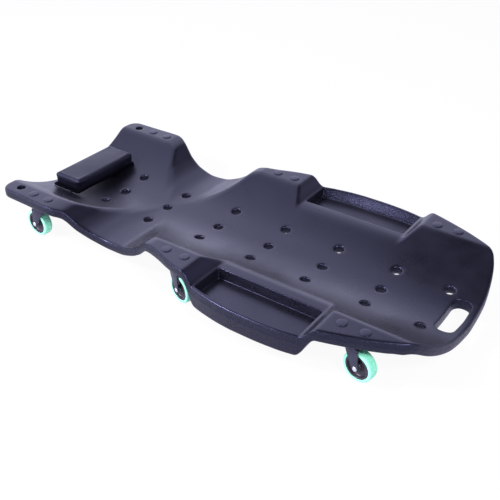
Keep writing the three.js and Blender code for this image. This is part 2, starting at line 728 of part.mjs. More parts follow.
function hubGeometry() {
  const outer = tyreInnerRadius - seatGap;
  const half = hubWidth / 2;
  const dish = half - hubDishDepth;
  const boss = legInner - runGap;
  return wheelPiece([
    [axleRadius + runGap, boss], [hubBossRadius, boss], [hubBossRadius, dish],
    [outer - hubRim - hubDishDepth * hubWebShare, dish], [outer - hubRim, half], [outer, half],
  ]);
}

function tyreGeometry() {
  const half = tyreWidth / 2;
  const section = tyreShares.map(([down, side]) => [wheelRadius - tyreShoulder * down, half - tyreShoulder * side]);
  return wheelPiece([[tyreInnerRadius, half - tyreShoulder * tyreSideDrawShare], ...section]);
}

// Rivet: a broad low head on the tab, its shank through tab and plate, and its tail under the plate.
function rivetGeometry() {
  const seat = tabHeight + seatGap;
  const tail = plateBottom - seatGap;
  const dome = domeShares.map(([radius, rise]) => [rivetHeadRadius * radius, seat + rivetHeadHeight * rise]);
  return turned([
    [0, tail - raceHeight * rivetTailShare], [rivetTailRadius, tail - raceHeight * rivetTailShare],
    [rivetTailRadius, tail], [rivetRadius, tail], [rivetRadius, seat], ...dome, [0, seat + rivetHeadHeight],
  ], rivetFacets);
}

const group = new THREE.Group();

function add(parent, name, geometry, material, x = 0, z = 0) {
  const mesh = new THREE.Mesh(geometry, material);
  mesh.name = name;
  mesh.position.set(x, 0, z);
  parent.add(mesh);
}

add(group, 'deck', deckGeometry(), materials.deck);
add(group, 'headrest_pad', padGeometry(), materials.pad);
add(group, 'headrest_board', boardGeometry(), materials.board);
screwPlaces.forEach((place, i) => add(group, `headrest_screw_${i + 1}`, screwGeometry(place), materials.zinc));

casters.forEach((caster) => {
  rivetPlaces(caster).forEach(([x, y], i) => {
    const rivet = rivetGeometry().translate(x, y, 0);
    add(group, `${caster.name}_rivet_${i + 1}`, rivet, materials.board);
  });
  const mount = new THREE.Group();
  mount.position.set(caster.x, caster.y, 0);
  group.add(mount);
  add(mount, `${caster.name}_plate`, plateGeometry(), materials.steel);
  add(mount, `${caster.name}_race`, raceGeometry(), materials.steel);
  add(mount, `${caster.name}_kingpin`, kingpinGeometry(), materials.zinc);
  const swivel = new THREE.Group();
  swivel.rotation.z = caster.heading;
  mount.add(swivel);
  add(swivel, `${caster.name}_fork`, forkGeometry(), materials.steel);
  add(swivel, `${caster.name}_axle`, axleGeometry(), materials.zinc, trail, axleHeight);
  add(swivel, `${caster.name}_hub`, hubGeometry(), materials.hub, trail, axleHeight);
  add(swivel, `${caster.name}_tyre`, tyreGeometry(), materials.tyre, trail, axleHeight);
});

export default group;
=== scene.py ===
"""Looks of the mechanic's creeper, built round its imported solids.

Metres, +X from the head end to the foot end, +Y to the left, +Z up from the floor.
"""
import math

import bpy
import numpy as np
from mathutils import Matrix, Vector
from mathutils.geometry import delaunay_2d_cdt
from mathutils.kdtree import KDTree


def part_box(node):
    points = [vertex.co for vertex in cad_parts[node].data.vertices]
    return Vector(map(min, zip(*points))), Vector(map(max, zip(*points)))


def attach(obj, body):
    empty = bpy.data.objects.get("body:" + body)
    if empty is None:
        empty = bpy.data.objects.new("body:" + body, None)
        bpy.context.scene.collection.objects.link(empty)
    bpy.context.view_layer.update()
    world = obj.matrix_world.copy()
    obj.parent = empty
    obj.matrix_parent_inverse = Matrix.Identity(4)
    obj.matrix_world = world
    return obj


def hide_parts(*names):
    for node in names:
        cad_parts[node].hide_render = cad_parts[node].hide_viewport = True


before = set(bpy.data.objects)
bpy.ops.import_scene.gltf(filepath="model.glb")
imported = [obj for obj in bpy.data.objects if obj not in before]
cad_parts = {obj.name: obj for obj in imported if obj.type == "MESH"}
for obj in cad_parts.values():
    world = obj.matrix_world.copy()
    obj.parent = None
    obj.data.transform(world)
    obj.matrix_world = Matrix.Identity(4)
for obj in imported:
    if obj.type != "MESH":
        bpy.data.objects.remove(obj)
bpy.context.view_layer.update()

DECK_BODY = "deck_body"

# The deck's own sizes, in metres.
HALF_LENGTH = 0.51075
HALF_WIDTH = 0.258
DISH_DEPTH = 0.0555
DECK_THICKNESS = 0.0205
TAB_HEIGHT = 0.1009995
DECK_HEIGHT = TAB_HEIGHT - DISH_DEPTH
DISH_REACH = 0.665 * HALF_WIDTH
DISH_RADIUS = (DISH_REACH ** 2 + DISH_DEPTH ** 2) / (2 * DISH_DEPTH)
CREST_BLEND = 0.007
EDGE_RADIUS = 0.0052
UNDERSIDE_RADIUS = 0.004
HEAD_CORNER_RADIUS = 0.026
FOOT_END_DROP = 0.003
FOOT_DROP_FROM, FOOT_DROP_TO = 0.873 * HALF_LENGTH, 0.902 * HALF_LENGTH
PARTING_RIDGE = 0.00025
RIDGE_HALF, RIDGE_DEPTH = 0.0009, 0.012
WIDEST = 0.99835 * HALF_WIDTH
FOOT_CORNER = 0.646 * HALF_WIDTH

# Tool trays.
TRAY_START = 0.1103 * HALF_LENGTH
TRAY_END = 0.5713 * HALF_LENGTH
TRAY_INNER = 0.619 * HALF_WIDTH
TRAY_RIM_DROP = 0.0235
TRAY_RIM = TAB_HEIGHT - TRAY_RIM_DROP
TRAY_FLOOR = TRAY_RIM - 0.0225
TRAY_UNDERSIDE = TRAY_FLOOR - 0.0225
TRAY_LIP = 0.007
TRAY_END_LIP = 0.005
TRAY_RAMP = 0.02
TRAY_DRAFT = 0.002
TRAY_LEAN, TRAY_LEAN_MIDDLE = 0.005, 0.0065
TRAY_FLOOR_FILLET = 0.002
TRAY_RIM_ROUNDING = 0.0022
TRAY_CORNER = 0.005
TRAY_INNER_WALL = 0.009
TRAY_INNER_RAMP = 0.012

# Openings.
HOLE_RADIUS = 0.0092
HOLE_RIM = 0.0042
HOLE_TUBE = 0.013
HOLE_FOOT = 0.0128
HOLE_ROWS = [-0.669, -0.415, -0.131, 0.128, 0.384, 0.642, 0.862]
HOLE_COLUMN = 0.255 * HALF_WIDTH
HANG_HOLE = (-0.9181 * HALF_LENGTH, 0.748 * HALF_WIDTH)
HANG_RIM, BORE_RIM, UNDER_RIM = 0.0016, 0.0004, 0.001
SLOT_LENGTH, SLOT_WIDTH, SLOT_INSET, SLOT_CORNER = 0.108, 0.038, 0.015, 0.0155
SLOT_RIM = 0.0025

# The rim that hangs round the foot tabs: its drop, its two ends along the deck, and its inner face.
FOOT_RIM = 0.0048
FOOT_RIM_START, FOOT_RIM_END = (0.298, 0.312), (0.44, 0.47)
FOOT_RIM_FACE = (0.0041, 0.0055)
FOOT_RIM_INSETS = (0.0045, 0.0051, 0.0058)

# Spacing of the points along the outlines and over the skins, and their number along a tray's walls.
OUTLINE_SAMPLE, OUTLINE_SPACING, SLOT_SPACING = 0.002, 0.003, 0.0024
TOP_SPACING, UNDER_SPACING = 0.0045, 0.008
CLEARANCE = 0.6
TRAY_SIDE_POINTS, TRAY_END_POINTS = 74, 22

# Casters: swivel place, heading of the trail in degrees, and the sizes that the pieces share.
TRAIL = 0.02
AXLE_HEIGHT = 0.0306495
CROWN_BOTTOM = 0.0697995
SHEET = 0.0023
CROWN_TOP = CROWN_BOTTOM + SHEET
PLATE_BOTTOM = CROWN_TOP + 0.0056
PLATE_THICKNESS = 0.0025
LEG_INNER = 0.0124
LEG_OUTER = LEG_INNER + SHEET
LEG_CREASE = 0.0125
LEG_FOLD = 0.14
FRONT_CREASE, FRONT_FOLD = -0.002, 0.16
CROWN_DIP, DIP_START, DIP_END = 0.0028, 0.0158, 0.0215
CROWN_FRONT = 0.016
ROLL_FROM, ROLL_REACH = 0.0545, 0.012
ROLL_BACK, ROLL_IN, ROLL_DOWN = 0.0030, 0.0042, 0.0006
LIP_HALF, LIP_FORWARD, LIP_SWEEP, LIP_IN, LIP_DOWN = 0.0105, 0.0010, 0.0020, 0.30, 0.0044
FORK_BEND = 0.0026
SWIVEL_SIDE = 0.195863
CASTERS = {
    "head_right": (-0.785 * HALF_LENGTH, -SWIVEL_SIDE, 177),
    "head_left": (-0.785 * HALF_LENGTH, SWIVEL_SIDE, 172),
    "middle_right": (-0.04 * HALF_LENGTH, -SWIVEL_SIDE, 343.3),
    "middle_left": (-0.04 * HALF_LENGTH, SWIVEL_SIDE, 18),
    "foot_right": (0.729 * HALF_LENGTH, -SWIVEL_SIDE, 351.2),
    "foot_left": (0.729 * HALF_LENGTH, SWIVEL_SIDE, 6),
}
RIVET_SPACING = 0.0454
RIVET_BORE = 0.0038
SCREW_BORE = 0.0028
SCREW_POCKET = 0.007
SCREW_FLANGE = 0.007

# Headrest. The cover starts smaller than its space, is swelled, and reaches down over the board's edge.
PAD_CENTRE = -HALF_LENGTH + 0.0715
PAD_LENGTH = 0.079
PAD_RIGHT, PAD_LEFT = -0.0885, 0.0935
PAD_HEADROOM, PAD_OVERLAP = 0.0030, 0.001
PAD_SLACK, PAD_SLACK_UP, PAD_SINK = 0.0012, 0.0014, 0.0004
PAD_TOP_EDGE, PAD_CORNER = 0.0052, 0.0045
PAD_VOXEL = 0.0022
PAD_SWELL = 0.0008
PAD_CROWN, PAD_CROWN_HALF = 0.0010, 0.091
PAD_FOOT, PAD_FOOT_SHARE, PAD_FOOT_ENDS = 0.022, 0.6, 0.45
BOARD_LENGTH, BOARD_WIDTH, BOARD_THICKNESS = 0.082, 0.190, 0.003
BOARD_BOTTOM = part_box("headrest_board")[0].z
SCREW_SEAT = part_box("headrest_screw_1")[0].z + 0.003
SCREW_PLACES = [(PAD_CENTRE, -0.4 * BOARD_WIDTH), (PAD_CENTRE, 0.4 * BOARD_WIDTH)]

# Height of the deck's side wall along it: 1 where the caster tabs stand, 0 at the waist.
WALL_SHARES = [
    (-0.704, 1), (-0.679, 0.965), (-0.647, 0.89), (-0.583, 0.42), (-0.511, 0.13), (-0.427, 0),
    (-0.365, 0.03), (-0.293, 0.24), (-0.246, 0.49), (-0.185, 0.95), (-0.157, 1),
]
# Half width along the deck, from the head corner to the foot corner.
SIDE_SHARES = [
    (-0.949, 0.851), (-0.829, 0.855), (-0.748, 0.861), (-0.709, 0.859), (-0.679, 0.847), (-0.647, 0.812),
    (-0.583, 0.765), (-0.511, 0.73), (-0.427, 0.714), (-0.365, 0.719), (-0.293, 0.735), (-0.246, 0.746),
    (-0.185, 0.784), (-0.109, 0.824), (-0.036, 0.875), (0.031, 0.91), (0.092, 0.93), (0.16, 0.963),
    (0.26, 0.993), (0.328, 1), (0.397, 0.998), (0.5, 0.984), (0.564, 0.962), (0.618, 0.936), (0.664, 0.91),
    (0.729, 0.868), (0.802, 0.815), (0.862, 0.762), (0.913, 0.709), (0.944, 0.646),
]
# Reach of the foot end, from the middle of the deck to the foot corner.
FOOT_SHARES = [(0, 1), (0.28, 0.993), (0.391, 0.985), (0.508, 0.972), (0.579, 0.96), (0.646, 0.942)]


def follow(table, t):
    """Smooth curve through the points of a table, with no overshoot between them."""
    at, value = np.array(table, float).T
    t = np.clip(np.asarray(t, float), at[0], at[-1])
    slope = np.diff(value) / np.diff(at)
    tangent = np.concatenate([slope[:1], np.zeros(len(slope) - 1), slope[-1:]])
    before, after = slope[:-1], slope[1:]
    same = before * after > 0
    tangent[1:-1][same] = 2 * before[same] * after[same] / (before[same] + after[same])
    i = np.clip(np.searchsorted(at, t, side="right") - 1, 0, len(slope) - 1)
    width = at[i + 1] - at[i]
    s = (t - at[i]) / width
    rise = (value[i + 1] - value[i]) * s * s * (3 - 2 * s)
    return value[i] + rise + width * (tangent[i] * s * (1 - s) ** 2 - tangent[i + 1] * s * s * (1 - s))


def soft_min(a, b, blend):
    """The lower of two heights, blended where they are close."""
    near = np.maximum(blend - np.abs(a - b), 0) / blend
    return np.minimum(a, b) - near * near * blend / 4


def soft_ramp(low, high, t, corner=0.12):
    """0 before low and 1 after high, with its two corners rounded."""
    s = (np.asarray(t, float) - low) / (high - low)
    near = np.where(s < 0.5, s, 1 - s)
    eased = np.where(near < -corner, 0, np.where(near < corner, (near + corner) ** 2 / (4 * corner), near))
    return np.where(s < 0.5, eased, 1 - eased)


def side_edge(x):
    return np.minimum(follow(SIDE_SHARES, np.asarray(x) / HALF_LENGTH) * HALF_WIDTH, WIDEST)


def foot_edge(y):
    return follow(FOOT_SHARES, np.abs(y) / HALF_WIDTH) * HALF_LENGTH


def wall_share(x):
    return follow(WALL_SHARES, np.asarray(x) / HALF_LENGTH)


def dish_rise(y):
    """Rise of the dish's round bottom from its middle line."""
    return DISH_RADIUS - np.sqrt(DISH_RADIUS ** 2 - np.minimum(np.abs(y), 0.9 * DISH_RADIUS) ** 2)


RAMP_LOW, RAMP_HIGH = TRAY_START - TRAY_END_LIP, TRAY_END + TRAY_END_LIP
# The deck bends quickly at the trays' ends, so its points lie closer together there.
BEND_ZONES = [
    (RAMP_LOW - TRAY_RAMP - 0.006, RAMP_LOW + 0.004), (RAMP_HIGH - 0.004, RAMP_HIGH + TRAY_RAMP + 0.006),
]
BEND_SIDE = 0.1


def over_tray(x, corner=0.35, shift=-0.002):
    """1 along a tray, 0 past the ramps at its two ends."""
    start = soft_ramp(RAMP_LOW - TRAY_RAMP + shift, RAMP_LOW + shift, x, corner)
    return start * (1 - soft_ramp(RAMP_HIGH - shift, RAMP_HIGH + TRAY_RAMP - shift, x, corner))


def dish_under(wall, y):
    """The dish where it lies lower than the wall's profile along the deck, and that profile elsewhere."""
    return soft_min(dish_rise(y), wall, np.clip(wall, 0.0004, CREST_BLEND))


def deck_top(x, y):
    return DECK_HEIGHT + dish_under(wall_share(x) * (DISH_DEPTH - TRAY_RIM_DROP * over_tray(x)), y)


def deck_underside(x, y):
    rise = dish_under(wall_share(x) * DISH_DEPTH, y)
    rise = rise - FOOT_END_DROP * soft_ramp(FOOT_DROP_FROM, FOOT_DROP_TO, x)
    wall = TRAY_INNER - TRAY_INNER_WALL
    block = over_tray(x, 0.42, 0.002) * soft_ramp(wall - TRAY_INNER_RAMP, wall, np.abs(y), 0.3)
    plain = DECK_HEIGHT - DECK_THICKNESS + rise
    return plain + (TRAY_UNDERSIDE - plain) * block


def arc(x, y, radius, quarter, steps):
    """Points of a quarter circle that starts at the given number of quarter turns."""
    turn = (quarter + np.arange(steps + 1) / steps) * math.pi / 2
    return np.stack([x + radius * np.cos(turn), y + radius * np.sin(turn)], 1)


def respaced(loop, spacing):
    """The same closed loop, with points at an even spacing."""
    closed = np.vstack([loop, loop[:1]])
    gone = np.concatenate([[0], np.cumsum(np.linalg.norm(np.diff(closed, axis=0), axis=1))])
    count = int(round(gone[-1] / spacing))
    at = np.arange(count) * gone[-1] / count
    return np.stack([np.interp(at, gone, closed[:, k]) for k in (0, 1)], 1)


def rounded_loop(loop, passes):
    for _ in range(passes):
        loop = (np.roll(loop, 1, 0) + 2 * loop + np.roll(loop, -1, 0)) / 4
    return loop


def drawn_in(loop, inset):
    """A counterclockwise loop drawn in square to its own line."""
    along = np.roll(loop, -1, 0) - np.roll(loop, 1, 0)
    along /= np.linalg.norm(along, axis=1)[:, None]
    return loop + np.stack([-along[:, 1], along[:, 0]], 1) * inset


def deck_outline():
    side = SIDE_SHARES[0][1] * HALF_WIDTH
    x = np.arange(-HALF_LENGTH + HEAD_CORNER_RADIUS, SIDE_SHARES[-1][0] * HALF_LENGTH, OUTLINE_SAMPLE)
    y = np.arange(-FOOT_CORNER, FOOT_CORNER, OUTLINE_SAMPLE)
    corner_x, corner_y = -HALF_LENGTH + HEAD_CORNER_RADIUS, side - HEAD_CORNER_RADIUS
    loop = np.vstack([
        np.stack([x, -side_edge(x)], 1),
        np.stack([foot_edge(y), y], 1),
        np.stack([x, side_edge(x)], 1)[::-1],
        arc(corner_x, corner_y, HEAD_CORNER_RADIUS, 1, 16),
        arc(corner_x, -corner_y, HEAD_CORNER_RADIUS, 2, 16),
    ])
    return rounded_loop(respaced(loop, OUTLINE_SPACING), 5)


def slot_outline():
    straight = SLOT_LENGTH / 2 - SLOT_CORNER
    far = foot_edge(straight) - SLOT_INSET - SLOT_CORNER
    near = HALF_LENGTH - SLOT_INSET - SLOT_WIDTH + SLOT_CORNER
    y = np.linspace(-straight, straight, 12)
    loop = np.vstack([
        arc(far, -straight, SLOT_CORNER, 3, 8), np.stack([foot_edge(y) - SLOT_INSET, y], 1),
        arc(far, straight, SLOT_CORNER, 0, 8), arc(near, straight, SLOT_CORNER, 1, 8),
        arc(near, -straight, SLOT_CORNER, 2, 8),
    ])
    return rounded_loop(respaced(loop, SLOT_SPACING), 3)


def tray_outline(inset, side, slant=0):
    """Outline of a tray's pocket, drawn in by an inset, counterclockwise on either side of the deck.

    The outer wall leans: slant is 0 at its rim and 1 at its foot.
    """
    def outer(x):
        along = np.clip((x - TRAY_START) / (TRAY_END - TRAY_START), 0, 1)
        lean = TRAY_LEAN + TRAY_LEAN_MIDDLE * np.sin(math.pi * along)
        return side_edge(x) - TRAY_LIP - max(inset, 0.5 * inset) - slant * lean

    def end_wall(x, start, end):
        return np.stack([np.full(TRAY_END_POINTS, x), np.linspace(start, end, TRAY_END_POINTS)], 1)[1:-1]

    inner = TRAY_INNER + inset + TRAY_CORNER
    near, far = TRAY_START + inset + TRAY_CORNER, TRAY_END - inset - TRAY_CORNER
    outer_near, outer_far = outer(near) - TRAY_CORNER, outer(far) - TRAY_CORNER
    span = np.linspace(near, far, TRAY_SIDE_POINTS)
    loop = np.vstack([
        arc(near, inner, TRAY_CORNER, 2, 6),
        np.stack([span, np.full(TRAY_SIDE_POINTS, inner - TRAY_CORNER)], 1)[1:-1],
        arc(far, inner, TRAY_CORNER, 3, 6),
        end_wall(far + TRAY_CORNER, inner, outer_far),
        arc(far, outer_far, TRAY_CORNER, 0, 6),
        np.stack([span, outer(span)], 1)[::-1][1:-1],
        arc(near, outer_near, TRAY_CORNER, 1, 6),
        end_wall(near - TRAY_CORNER, outer_near, inner),
    ])
    return loop if side > 0 else (loop * [1, -1])[::-1]


def circle(x, y, radius, count):
    turn = np.arange(count) * 2 * math.pi / count
    return np.stack([x + radius * np.cos(turn), y + radius * np.sin(turn)], 1)


def inside(points, loop):
    """Which points lie inside a closed loop."""
    result = np.zeros(len(points), bool)
    ahead = np.roll(loop, -1, 0)
    px, py = points[:, 0], points[:, 1]
    for (ax, ay), (bx, by) in zip(loop, ahead):
        if ay == by:
            continue
        crosses = (ay > py) != (by > py)
        result ^= crosses & (px < (bx - ax) * (py - ay) / (by - ay) + ax)
    return result


def hex_points(low, high, spacing):
    """Points at an even spacing over a box, each row shifted by half a step."""
    rows = np.arange(low[1], high[1], spacing * math.sqrt(3) / 2)
    columns = np.arange(low[0], high[0], spacing)
    x, y = np.meshgrid(columns, rows)
    x = x + (np.arange(len(rows)) % 2)[:, None] * spacing / 2
    return np.stack([x.ravel(), y.ravel()], 1)


def skin(rings, free, gaps):
    """Triangles through closed rings of points and free points, with none inside the gap loops."""
    points = np.vstack([*rings, free])
    edges, starts, start = [], [], 0
    for ring in rings:
        count = len(ring)
        starts.append(start)
        edges += [(start + k, start + (k + 1) % count) for k in range(count)]
        start += count
    flat = [Vector((x * 1000, y * 1000)) for x, y, _ in points]
    _, _, faces, origin, _, _ = delaunay_2d_cdt(flat, edges, [], 0, 1e-5)
    home = np.array([source[0] for source in origin])
    faces = home[np.array([tuple(f) for f in faces])]
    middle = points[faces, :2].mean(1)
    kept = inside(middle, rings[0][:, :2])
    for gap in gaps:
        kept &= ~inside(middle, gap[:, :2])
    faces = faces[kept]
    a, b, c = (points[faces[:, k], :2] for k in range(3))
    turned = (b[:, 0] - a[:, 0]) * (c[:, 1] - a[:, 1]) - (b[:, 1] - a[:, 1]) * (c[:, 0] - a[:, 0]) < 0
    faces[turned] = faces[turned][:, ::-1]
    return points, faces, starts


def in_bend(points):
    """Which points lie where the deck bends quickly."""
    along = np.any([(points[:, 0] > x0) & (points[:, 0] < x1) for x0, x1 in BEND_ZONES], 0)
    return along & (np.abs(points[:, 1]) > BEND_SIDE)


def free_points(rings, spacing, bands):
    """Points between the rings, closer together where the deck bends, and none in the bands."""
    outer = rings[0][:, :2]
    low, high = outer.min(0), outer.max(0)
    coarse = hex_points(low, high, spacing)
    fine = hex_points(low, high, spacing / 2)
    coarse, fine = coarse[~in_bend(coarse)], fine[in_bend(fine)]
    sizes = np.concatenate([np.full(len(coarse), spacing), np.full(len(fine), spacing / 2)])
    points = np.vstack([coarse, fine])
    ok = inside(points, outer)
    for wide, narrow in bands:
        strip = inside(points, wide)
        if narrow is not None:
            strip &= ~inside(points, narrow)
        ok &= ~strip
    points, sizes = points[ok], sizes[ok]
    tree = KDTree(sum(len(r) for r in rings))
    for k, (x, y) in enumerate(np.vstack([r[:, :2] for r in rings])):
        tree.insert((x, y, 0), k)
    tree.balance()
    clear = [tree.find((x, y, 0))[2] > CLEARANCE * size for (x, y), size in zip(points, sizes)]
    return points[np.array(clear)]


def lifted(loop, height):
    return np.column_stack([loop, np.broadcast_to(height, len(loop))])


def quarter_rounding(radius, steps):
    """[inset, drop] pairs of a quarter round, from its upright end to its flat end."""
    turn = np.arange(steps + 1) / steps * math.pi / 2
    return list(zip(radius * (1 - np.cos(turn)), radius * (1 - np.sin(turn))))


def all_holes():
    """[x, y, radius, rim rounding, radius at the underside, points round it] of every through-hole."""
    holes = []
    for row, share in enumerate(HOLE_ROWS):
        for y in (-HOLE_COLUMN, HOLE_COLUMN) + ((0,) if row < len(HOLE_ROWS) - 1 else ()):
            holes.append((share * HALF_LENGTH, y, HOLE_RADIUS, HOLE_RIM, HOLE_FOOT, 40))
    for side in (-1, 1):
        holes.append((HANG_HOLE[0], side * HANG_HOLE[1], HOLE_RADIUS, HANG_RIM, HOLE_RADIUS, 36))
    for x, y, _ in CASTERS.values():
        for end in (-1, 1):
            holes.append((x + end * RIVET_SPACING / 2, y, RIVET_BORE, BORE_RIM, RIVET_BORE, 16))
    return holes


def openings(slot, under):
    """[its outline by growth, rim rounding, steps in it] of every opening in one skin."""
    def grown_circle(x, y, radius, count):
        return lambda out: circle(x, y, radius + out, count)

    found = []
    for x, y, radius, rim, foot, count in all_holes():
        if under:
            found.append((grown_circle(x, y, foot, count), min(rim, UNDER_RIM), 2))
        else:
            found.append((grown_circle(x, y, radius, count), rim, 5))
    screw_hole = SCREW_POCKET if under else SCREW_BORE
    found += [(grown_circle(x, y, screw_hole, 16), 0, 0) for x, y in SCREW_PLACES]
    return found + [(lambda out: drawn_in(slot, -out), SLOT_RIM, 3 if under else 5)]


def cut_openings(rings, found, surface, drop_sign):
    """Adds the openings' rings, and gives the number of each one's first ring, its gap and its band."""
    first, gaps, bands = [], [], []
    for grown, rim, steps in found:
        first.append(len(rings))
        for out, drop in quarter_rounding(rim, steps) if steps else [(0, 0)]:
            loop = grown(out)
            rings.append(lifted(loop, surface(*loop.T) - drop_sign * drop))
        gaps.append(grown(0))
        bands.append((grown(rim), None))
    return first, gaps, bands


def foot_rim(x, inset):
    """Drop of the rim that hangs round the foot tabs' edge."""
    along = soft_ramp(*FOOT_RIM_START, x) * (1 - soft_ramp(*FOOT_RIM_END, x))
    return FOOT_RIM * along * (1 - soft_ramp(*FOOT_RIM_FACE, inset))


def top_skin(outline, slot):
    """The deck's rounded edge, each opening's rounded rim, and the trays' walls and floors."""
    rings = []
    for inset, drop in quarter_rounding(EDGE_RADIUS, 6):
        loop = drawn_in(outline, inset + PARTING_RIDGE)
        rings.append(lifted(loop, deck_top(*loop.T) - drop))
    inner = rings[-1]
    first, gaps, bands = cut_openings(rings, openings(slot, False), deck_top, 1)
    wall_top, wall_foot = TRAY_RIM - TRAY_RIM_ROUNDING, TRAY_FLOOR + TRAY_FLOOR_FILLET
    for side in (-1, 1):
        levels = [(-out, None, drop, 0) for out, drop in quarter_rounding(TRAY_RIM_ROUNDING, 4)[::-1]]
        for share in (0.25, 0.5, 0.75):
            levels.append((TRAY_DRAFT * share, wall_top + (wall_foot - wall_top) * share, 0, share))
        for out, rise in quarter_rounding(TRAY_FLOOR_FILLET, 4):
            levels.append((TRAY_DRAFT + out, TRAY_FLOOR + rise, 0, 1))
        for inset, height, drop, slant in levels:
            loop = tray_outline(inset, side, slant)
            z = deck_top(*loop.T) - drop if height is None else height
            rings.append(lifted(loop, z))
        bands.append((tray_outline(levels[0][0], side), tray_outline(levels[-1][0], side, 1)))
    places = free_points([inner] + rings, TOP_SPACING, bands)
    floors = [tray_outline(TRAY_DRAFT + TRAY_FLOOR_FILLET, side, 1) for side in (-1, 1)]
    on_floor = inside(places, floors[0]) | inside(places, floors[1])
    z = np.where(on_floor, TRAY_FLOOR, deck_top(*places.T))
    points, faces, starts = skin(rings, np.column_stack([places, z]), gaps)
    return points, faces, [(starts[k], rings[k]) for k in first]


def under_skin(outline, slot):
    """The deck's underside, with the rim that hangs round the foot tabs."""
    rings = []
    edge = [(inset, drop, PARTING_RIDGE) for inset, drop in quarter_rounding(UNDERSIDE_RADIUS, 4)]
    for inset, drop, ridge in edge + [(inset, 0, 0) for inset in FOOT_RIM_INSETS]:
        loop = drawn_in(outline, inset + ridge)
        rings.append(lifted(loop, deck_underside(*loop.T) + drop - foot_rim(loop[:, 0], inset)))
    inner = rings[-1]
    first, gaps, bands = cut_openings(rings, openings(slot, True), deck_underside, -1)
    places = free_points([inner] + rings, UNDER_SPACING, bands)
    points, faces, starts = skin(rings, np.column_stack([places, deck_underside(*places.T)]), gaps)
    return points, faces, [(starts[k], rings[k]) for k in first]


def deck_mesh():
    """The deck's two skins, joined by walls round its outline and down through each opening."""
    outline, slot, holes = deck_outline(), slot_outline(), all_holes()
    top, top_faces, top_openings = top_skin(outline, slot)
    under, under_faces, under_openings = under_skin(outline, slot)
    vertices = [top, under]
    faces = [top_faces, under_faces[:, ::-1] + len(top)]
    total = len(top) + len(under)

    def wall(upper, lower, count):
        k = np.arange(count)
        ahead = (k + 1) % count
        faces.append(np.stack([upper + k, lower + k, lower + ahead], 1))
        faces.append(np.stack([upper + k, lower + ahead, upper + ahead], 1))

    count = len(outline)
    upper_z, lower_z = top[:count, 2], under[:count, 2]
    middle = np.maximum((upper_z + lower_z) / 2, upper_z - RIDGE_DEPTH)
    at = 0
    ridge = [(middle + RIDGE_HALF, PARTING_RIDGE), (middle, 0), (middle - RIDGE_HALF, PARTING_RIDGE)]
    for z, inset in ridge:
        vertices.append(lifted(drawn_in(outline, inset), z))
        wall(at, total, count)
        at = total
        total += count
    wall(at, len(top), count)
    for number, ((upper, above), (lower, below)) in enumerate(zip(top_openings, under_openings)):
        count = len(above)
        steps = []
        if number < len(holes) and holes[number][4] > holes[number][2]:
            steps = [lifted(above[:, :2], above[:, 2] - (HOLE_TUBE - HOLE_RIM))]
        elif len(holes) <= number < len(holes) + len(SCREW_PLACES):
            seat = above[:, 2].mean() - SCREW_FLANGE
            steps = [lifted(above[:, :2], seat), lifted(below[:, :2], seat)]
        for step in steps:
            vertices.append(step)
            wall(total, upper, count)
            upper = total
            total += count
        wall(lower + len(top), upper, count)
    mesh = bpy.data.meshes.new("deck_moulding")
    mesh.from_pydata(np.vstack(vertices).tolist(), [], np.vstack(faces).tolist())
    mesh.validate()
    mesh.update()
    return mesh



def new_piece(mesh):
    piece = bpy.data.objects.new(mesh.name, mesh)
    bpy.context.scene.collection.objects.link(piece)
    return piece


def only(piece):
    """Makes one piece the only selected and the active one."""
    bpy.ops.object.select_all(action="DESELECT")
    piece.select_set(True)
    bpy.context.view_layer.objects.active = piece
    return piece


def modified(piece, kind, **settings):
    """Adds one modifier, sets it up and applies it."""
    only(piece)
    modifier = piece.modifiers.new(kind.lower(), kind)
    for name, value in settings.items():
        setattr(modifier, name, value)
    bpy.ops.object.modifier_apply(modifier=modifier.name)
    return piece


def edged(piece, width, degrees, segments=2):
    """Bevels the edges that are sharper than an angle."""
    return modified(piece, "BEVEL", width=width, segments=segments, limit_method="ANGLE",
                    angle_limit=math.radians(degrees))


def smoothed(piece, degrees=35):
    only(piece)
    bpy.ops.object.shade_smooth_by_angle(angle=math.radians(degrees))
    return piece


def select_edges(piece, chosen):
    """Selects the edges whose two ends together pass a test, and leaves the piece in edit mode."""
    bpy.ops.object.mode_set(mode="EDIT")
    bpy.ops.mesh.select_mode(type="EDGE")
    bpy.ops.mesh.select_all(action="DESELECT")
    bpy.ops.object.mode_set(mode="OBJECT")
    vertices = piece.data.vertices
    for edge in piece.data.edges:
        edge.select = chosen(*(vertices[i].co for i in edge.vertices))
    bpy.ops.object.mode_set(mode="EDIT")


def turned_piece(name, profile, sides=64, ring=False):
    """A piece turned about Z: a circle that is extruded and resized along the points of its profile."""
    first = 1 if profile[0][0] == 0 else 0
    radius, height = profile[first]
    bpy.ops.object.select_all(action="DESELECT")
    bpy.ops.mesh.primitive_circle_add(vertices=sides, radius=radius, location=(0, 0, height),
                                      fill_type="TRIFAN" if first else "NOTHING")
    piece = bpy.context.object
    bpy.ops.object.transform_apply(location=True)
    piece.name = piece.data.name = name
    if first:
        min(piece.data.vertices, key=lambda v: v.co.xy.length).co.z = profile[0][1]
    select_edges(piece, lambda a, b: min(a.xy.length, b.xy.length) > radius * 0.9)
    steps = profile[first + 1:] + (profile[:1] if ring else [])
    for next_radius, next_height in steps:
        bpy.ops.mesh.extrude_region_move(TRANSFORM_OT_translate={"value": (0, 0, next_height - height)})
        if next_radius == 0:
            bpy.ops.mesh.merge(type="CENTER")
            break
        scale = next_radius / radius
        bpy.ops.transform.resize(value=(scale, scale, 1))
        radius, height = next_radius, next_height
    bpy.ops.mesh.select_all(action="SELECT")
    bpy.ops.mesh.remove_doubles(threshold=1e-6)
    bpy.ops.mesh.normals_make_consistent(inside=False)
    bpy.ops.object.mode_set(mode="OBJECT")
    return piece


